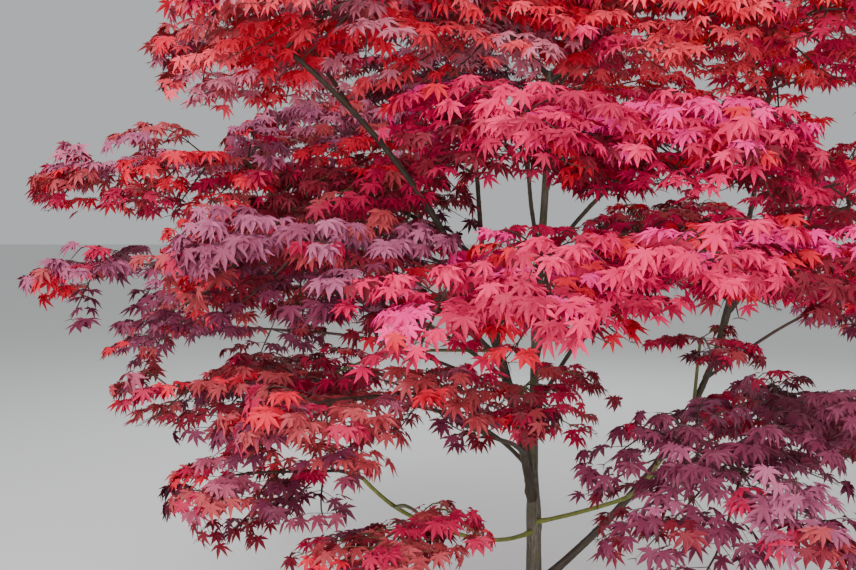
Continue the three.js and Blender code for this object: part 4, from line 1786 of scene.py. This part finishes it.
@dataclass(frozen=True)
class TwigHabit:
    """How opposite twigs grow along a boughlet.

    Attributes:
        spacing: between pairs.
        fewest: pairs on the shortest boughlet.
        last: share of the boughlet where the last pair stands.
        place_stray: how far a pair strays, as a share of the boughlet.
        lengths: at the boughlet's base and at its end.
        length_stray: how much they stray, against 1.
        angle: off the boughlet, in degrees, and how much it strays.
        drop_stray: how far a twig strays up or down, in radians.
        slope_share: how much of the boughlet's own slope it takes.
        inside: depth within which a twig has to end.
        tries: how often it is shortened for that.
        shortened: its length then, against the one before.
        kept_tint: how many sprays share their boughlet's tint.
        shortest: nothing shorter is grown.
        bend: share of its length where it bends.
        lift: how high that is, against its length.
        radius: at its base.
        taper: radius at its bend, against the base.
    """

    spacing: float = 0.066
    fewest: int = 2
    last: float = 0.95
    place_stray: float = 0.02
    lengths: Span = (0.165, 0.06)
    length_stray: float = 0.25
    angle: Span = (50, 12)
    drop_stray: float = 0.25
    slope_share: float = 0.5
    inside: float = 0.97
    tries: int = 3
    shortened: float = 0.7
    kept_tint: float = 0.55
    shortest: float = 0.012
    bend: float = 0.55
    lift: float = 0.06
    radius: float = 0.0013
    taper: float = 0.8


@dataclass(frozen=True)
class LeafHabit:
    """How leaves stand on a twig.

    Attributes:
        spacing: between pairs.
        angle: off the twig, in degrees, and how much it strays.
        tip_stray: how far the leaf at the twig's tip strays, in radians.
        outward: how far leaves at the rim turn outwards, as a share.
        length: middle lobe, from the hub.
        size: against that length, and how much it strays.
        drop: slope of the blade, in degrees, and how much it strays.
        roll: how far it rolls to a side, in radians.
        stalk: length of its stalk, and how much it strays.
        stalk_drop: slope of the stalk, as a share of the blade's.
        stalk_lift: how far the stalk then rises, in radians.
        stalk_width: width of the stalk.
        floor: no leaf hangs lower.
        tries: how often a leaf is turned down to keep it in the space.
        turn_down: how far each time, in radians.
    """

    spacing: float = 0.042
    angle: Span = (60, 18)
    tip_stray: float = 0.3
    outward: float = 0.45
    length: float = 0.0525
    size: Span = (0.95, 0.18)
    drop: Span = (34, 26)
    roll: float = 0.4
    stalk: Span = (0.026, 0.01)
    stalk_drop: float = 0.25
    stalk_lift: float = 0.15
    stalk_width: float = 0.0011
    floor: float = 0.33
    tries: int = 3
    turn_down: float = 0.35


@dataclass
class Foliage:
    """One mass grown on from its limb: stem, boughlets, twigs in opposite pairs, and leaves.

    Attributes:
        row: the mass.
        start: where its stem leaves the limb.
        shapes: the leaf shapes that it bears.
        rim_layers: the layers of every mass.
        dome_layer: one more, for deep masses.
        deep: the upper radius from which a mass is deep.
        tint_blur: how far the border of upper and lower tints strays, as a share of that radius.
        stem: how its stem and spine run.
        boughlet: how its boughlets grow.
        twig: how their twigs grow.
        leaf: how leaves stand on those.
    """

    row: MassRow
    start: Vector
    shapes: Sequence[LeafShape]
    rim_layers: tuple[Layer, ...] = (
        Layer(0.8, 0.8, 0.13, 0.32),
        Layer(0.08, 0.9, 0.08, 0.1),
        Layer(-0.8, 0.8, 0.1, -0.15),
    )
    dome_layer: Layer = Layer(0.95, 0.5, 0.12, 0.3)
    deep: float = 0.205
    tint_blur: float = 0.3
    stem: StemHabit = StemHabit()
    boughlet: BoughletHabit = BoughletHabit()
    twig: TwigHabit = TwigHabit()
    leaf: LeafHabit = LeafHabit()

    def __post_init__(self) -> None:
        """Sets up the space, the layers, the tints and what the mass gathers."""
        self.space = Space(self.row)
        self.dice = Dice(self.row.name)
        self.wood = MeshSink()
        self.leaves: list[Leaf] = []
        self.spine: list[Vector] = []
        self.layers = self.rim_layers + ((self.dome_layer,) if self.row.radii[2] > self.deep else ())
        used = {tint for level in self.row.palette.value for tint, _ in level}
        self.tints = sorted(used, key=lambda tint: tint.name)

    def grow(self) -> None:
        """Grows the stem and everything on it."""
        stem, dice, space = self.stem, self.dice, self.space
        spots = [space.place(reach, dice.near(0, stem.spine_stray), stem.spine_level) for reach in stem.spine]
        heart = spots[0]
        arch = self.start.lerp(heart, stem.bend)
        arch.z += stem.arch * (heart - self.start).length
        end = space.place(stem.end[0], dice.near(0, stem.end_stray), stem.end[1])
        line = smooth_line([self.start, arch, *spots, end], stem.steps)
        self._wood_along(line, stem.radii, stem.taper, stem.sides)
        self.spine = line[2 * stem.steps :]  # from the heart on
        outline = math.pi * space.radii[0] * space.radii[1]
        count = max(self.boughlet.fewest, round(outline / self.boughlet.area * self.row.fill))
        for number in range(count):
            self._boughlet(number, count)
        self._sprays(self.spine, (end - heart).length, stem.bare_share)
        tip_start = self.spine[-1 - stem.tip_steps]
        self._twig(tip_start, self.spine[-1], 0.0, self._tint(self.spine[-1]))

    def _wood_along(self, line: Sequence[Vector], radii: Span, taper: float, sides: int) -> None:
        """Adds wood along a line, with its radii at base and tip, the taper's power and its sides."""
        shares = np.linspace(0, 1, len(line))[:-1]
        self.wood.add(*thin_tube(line, [mix(*radii, share**taper) for share in shares], sides))

    def _boughlet(self, number: int, count: int) -> None:
        """Grows one boughlet from the spine towards the mass's rim.

        Args:
            number: which one it is.
            count: how many the mass has.
        """
        habit = self.boughlet
        line, length = self._boughlet_line(number, count)
        if length < habit.shortest:
            return
        radius = mix(*habit.radii, min(1.0, length / habit.long))
        self._wood_along(line, (radius, habit.tip_radius), 1.0, habit.sides)
        tint = self._tint(line[-1])
        self._sprays(line, length, habit.bare_share, tint)
        node, _, _ = along_line(line, habit.tip_share)
        self._twig(node, line[-1].copy(), 0.0, tint)

    def _boughlet_line(self, number: int, count: int) -> tuple[list[Vector], float]:
        """Draws a boughlet's middle line.

        Args:
            number: which boughlet it is.
            count: how many the mass has.

        Returns:
            The line's points, and the straight length between its ends.
        """
        dice, space, habit = self.dice, self.space, self.boughlet
        layer = self.layers[number % len(self.layers)]
        step = math.tau * len(self.layers) / count
        around = step * (number / len(self.layers) + dice.near(0, habit.turn_stray)) - math.pi
        reach = min(habit.farthest, dice.near(layer.reach, layer.spread))
        along, across = math.cos(around) * reach, math.sin(around) * reach
        level = layer.level * math.sqrt(1 - reach * reach) + dice.near(0, habit.level_stray)
        end = space.place(along, across, level)
        long, wide, tall = space.radii
        back = abs(across) * wide * dice.near(*habit.lag)
        place = max((along * long - back) / long, self.stem.spine[0])
        start = self._spine_point(min(place, habit.last_start))
        length = (end - start).length
        arch = start.lerp(end, 0.5) + UP * (layer.arch * tall) + space.ahead * (habit.lean * length)
        return smooth_line([start, arch, end], habit.steps), length

    def _spine_point(self, along: float) -> Vector:
        """Finds where a boughlet leaves the spine.

        Args:
            along: a place along the mass, as a share of its radius.

        Returns:
            The spine's point nearest to it.
        """
        centre, ahead, long = self.space.centre, self.space.ahead, self.space.radii[0]
        off = [abs((point - centre).dot(ahead) / long - along) for point in self.spine]
        return self.spine[place_of_least(off)].copy()

    def _tint(self, place: Vector) -> Tint:
        """Draws a spray's tint by its height in the mass, which paints light and shade on the mass.

        Args:
            place: where the spray ends.

        Returns:
            An upper or a lower tint of the mass's palette.
        """
        share = (place.z - self.space.centre.z) / self.space.radii[2]
        upper_tints, lower_tints = self.row.palette.value
        return self.dice.pick(upper_tints if share > self.dice.near(0.0, self.tint_blur) else lower_tints)

    def _sprays(self, line: Sequence[Vector], length: float, first: float, tint: Tint | None = None) -> None:
        """Grows opposite twigs along a line.

        Args:
            line: the boughlet's middle line.
            length: its length.
            first: share of it before the first twigs.
            tint: the boughlet's own tint, if it has one.
        """
        dice, habit = self.dice, self.twig
        count = max(habit.fewest, round(length * (1 - first) / habit.spacing))
        for i in range(count):
            share = mix(first, habit.last, i / max(1, count - 1)) + dice.near(0, habit.place_stray)
            node, heading, slope = along_line(line, share)
            size = mix(*habit.lengths, share) * dice.near(1, habit.length_stray)
            for hand in HANDS:
                turned = heading + hand * math.radians(dice.near(*habit.angle))
                drop = dice.near(0, habit.drop_stray) + habit.slope_share * slope
                end = node + sloping(turned, drop) * size
                for _ in range(habit.tries):
                    if self.space.depth(end) < habit.inside:
                        break
                    end = node.lerp(end, habit.shortened)
                own = self._tint(end)
                kept = tint and dice.roll() < habit.kept_tint
                self._twig(node, end, habit.radius, tint if kept else own)

    def _twig(self, start: Vector, end: Vector, radius: float, tint: Tint) -> None:
        """Grows a twig that bears one spray: opposite pairs of leaves and one at its tip.

        Args:
            start: where it leaves the boughlet.
            end: its tip.
            radius: at its start, or 0 where the boughlet's own wood bears the leaves.
            tint: the spray's tint.
        """
        dice, habit = self.dice, self.twig
        length = (end - start).length
        if length < habit.shortest:
            return
        heading = math.atan2(end.y - start.y, end.x - start.x)
        bend = start.lerp(end, habit.bend) + UP * (habit.lift * length if radius else 0.0)
        if radius:
            self.wood.add(*thin_tube([start, bend, end], [radius, radius * habit.taper]))
        number = self.tints.index(tint)
        nodes = max(1, round(length / self.leaf.spacing))
        for i in range(nodes):
            share = (i + 1) / nodes
            if share < habit.bend:
                node = start.lerp(bend, share / habit.bend)
            else:
                node = bend.lerp(end, (share - habit.bend) / (1 - habit.bend))
            for hand in HANDS:
                self._leaf(node, heading + hand * math.radians(dice.near(*self.leaf.angle)), number)
        self._leaf(end, heading + dice.near(0, self.leaf.tip_stray), number)

    def _leaf(self, node: Vector, heading: float, tint: int) -> None:
        """Adds a leaf on its stalk, if it stays in the space.

        Args:
            node: where the stalk leaves the twig.
            heading: which way it goes, in radians.
            tint: number of its tint.
        """
        dice, habit, space = self.dice, self.leaf, self.space
        off = node - space.centre
        turn = (math.atan2(off.y, off.x) - heading + math.pi) % math.tau - math.pi
        heading += habit.outward * min(1.0, space.depth(node)) * turn
        length = habit.length * dice.near(*habit.size)
        stalk = dice.near(*habit.stalk)
        drop = math.radians(dice.near(*habit.drop))
        roll = dice.near(0, habit.roll)
        shape = int(dice.roll() * len(self.shapes)) % len(self.shapes)
        hub = node + sloping(heading, habit.stalk_drop * drop - habit.stalk_lift) * stalk
        for _ in range(habit.tries):
            ahead = sloping(heading, drop)
            if space.depth(hub + ahead * length) <= 1 and hub.z > habit.floor:
                break
            drop += habit.turn_down
        else:
            return
        normal = sloping(heading, drop - math.pi / 2)
        normal.rotate(Matrix.Rotation(roll, 3, ahead))
        self.leaves.append(Leaf(node, hub, (ahead, normal.cross(ahead), normal), length, tint, shape))

    def build(self) -> tuple[bpy.types.Object, bpy.types.Object]:
        """Makes the mass's wood and its leaves and dresses them.

        Returns:
            The wood's object, and the leaves', which replaces the mass's solid.
        """
        finish = GREEN_TWIGS if self.row.palette is Palette.CRIMSON else BROWN_TWIGS
        wood = self.wood.build(f"twigs_{self.row.name}", [finish.material()])
        sink = MeshSink()
        for shape in self.shapes:
            chosen = [leaf for leaf in self.leaves if leaf.shape == shape.number]
            if chosen:
                sink.add(*shape.placed(chosen))
        sink.add(*placed_stalks(self.leaves, self.leaf.stalk_width))
        blades = sink.build(f"leaves_{self.row.name}", [LeafFinish(tint).material() for tint in self.tints])
        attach(wood, ROOT_BODY)
        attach(blades, ROOT_BODY)
        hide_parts(self.row.name)
        return wood, blades


# Stage


@dataclass(frozen=True)
class AreaLamp:
    """A soft light that faces a point.

    Attributes:
        name: its name.
        place: where its middle is.
        aim: the point that it faces.
        size: its width and height.
        power: in watts.
        colour: linear red, green and blue.
        spread: how wide its light fans out, in degrees.
    """

    name: str
    place: Triple
    aim: Triple
    size: Span
    power: float
    colour: Triple = (1.0, 1.0, 1.0)
    spread: float = 180.0

    def add(self) -> None:
        """Puts the light in the scene."""
        light = bpy.data.lights.new(self.name, "AREA")
        light.shape = "RECTANGLE"
        light.size, light.size_y = self.size
        light.energy = self.power
        light.color = self.colour
        light.spread = math.radians(self.spread)
        made = put_in_scene(self.name, light)
        made.location = self.place
        towards = Vector(self.aim) - Vector(self.place)
        made.rotation_euler = towards.to_track_quat("-Z", "Y").to_euler()


@dataclass(frozen=True)
class Studio:
    """A plain pale floor, soft lights, plain surroundings, and a camera at the photo's angle.

    Attributes:
        lamps: the soft lights.
        camera_place: where the camera stands.
        camera_pitch: how far it looks below level, in degrees.
        camera_lens: its focal length, in millimetres.
        camera_sensor: width of its picture, in millimetres.
        surroundings: their colour.
        strength: their brightness.
        floor_size: width of the floor.
        floor_colour: its colour.
        floor_roughness: of its surface.
    """

    lamps: tuple[AreaLamp, ...] = (
        AreaLamp("key_light", (-3.0, -5.0, 6.0), (-0.1, -0.2, 1.5), (4.5, 4.5), 540),
        AreaLamp("fill_light", (4.5, -4.0, 3.2), (0.1, 0.0, 1.4), (4.0, 4.0), 110, (1.0, 0.97, 0.95)),
        AreaLamp("low_light", (-1.5, -6.8, 1.35), (0.0, 0.0, 2.1), (5.0, 0.9), 130, (1.0, 0.98, 0.97), 110),
        AreaLamp("back_light", (1.0, 5.5, 5.5), (0.0, 0.0, 1.6), (4.5, 4.5), 200, (0.95, 0.97, 1.0)),
    )
    camera_place: Triple = (-0.40, -3.50, 1.55)
    camera_pitch: float = 3.3
    camera_lens: float = 40.0
    camera_sensor: float = 36.0
    surroundings: Colour = (0.86, 0.88, 0.9, 1.0)
    strength: float = 0.6
    floor_size: float = 200.0
    floor_colour: Colour = (0.72, 0.72, 0.71, 1.0)
    floor_roughness: float = 0.9

    def _floor(self) -> None:
        """Adds the floor at ground level."""
        half = self.floor_size / 2
        mesh = bpy.data.meshes.new("floor")
        spots = [(-half, -half, 0), (half, -half, 0), (half, half, 0), (-half, half, 0)]
        mesh.from_pydata(spots, [], [(0, 1, 2, 3)])
        material = bpy.data.materials.new("pale_floor")
        material.use_nodes = True
        shader = principled(material)
        shader.inputs["Base Color"].default_value = self.floor_colour
        shader.inputs["Roughness"].default_value = self.floor_roughness
        mesh.materials.append(material)
        put_in_scene("floor", mesh)

    def _camera(self) -> None:
        """Adds the camera."""
        data = bpy.data.cameras.new("camera")
        data.lens = self.camera_lens
        data.sensor_width = self.camera_sensor
        camera = put_in_scene("camera", data)
        camera.location = self.camera_place
        camera.rotation_euler = (math.radians(90 - self.camera_pitch), 0, 0)
        bpy.context.scene.camera = camera

    def _world(self) -> None:
        """Adds the surroundings."""
        world = bpy.data.worlds.new("pale_surroundings")
        world.use_nodes = True
        background = world.node_tree.nodes["Background"]
        background.inputs["Color"].default_value = self.surroundings
        background.inputs["Strength"].default_value = self.strength
        bpy.context.scene.world = world

    def build(self) -> None:
        """Adds floor, surroundings, lights and camera."""
        self._floor()
        self._world()
        for lamp in self.lamps:
            lamp.add()
        self._camera()


def main() -> None:
    """Builds the studio, the bark skins and the foliage, and reports each piece."""
    logging.basicConfig(level=logging.INFO)
    Studio().build()
    limbs = grow_limbs()
    parents = {row.name: limbs[row.on] for row in LIMBS}
    for name, limb in limbs.items():
        skin = BarkSkin(limb, parents.get(name)).build()
        log.info("%s: %d triangles", skin.name, len(skin.data.polygons))
    shapes = [LeafShape(number) for number in range(LEAF_SHAPES)]
    leaves, triangles = 0, 0
    for row in MASSES:
        foliage = Foliage(row, limbs[row.on].spot(row.at), shapes)
        foliage.grow()
        for piece in foliage.build():
            log.info("%s: %d triangles", piece.name, len(piece.data.polygons))
            triangles += len(piece.data.polygons)
        leaves += len(foliage.leaves)
    log.info("%d leaves, %d foliage triangles", leaves, triangles)


if __name__ == "__main__":
    main()
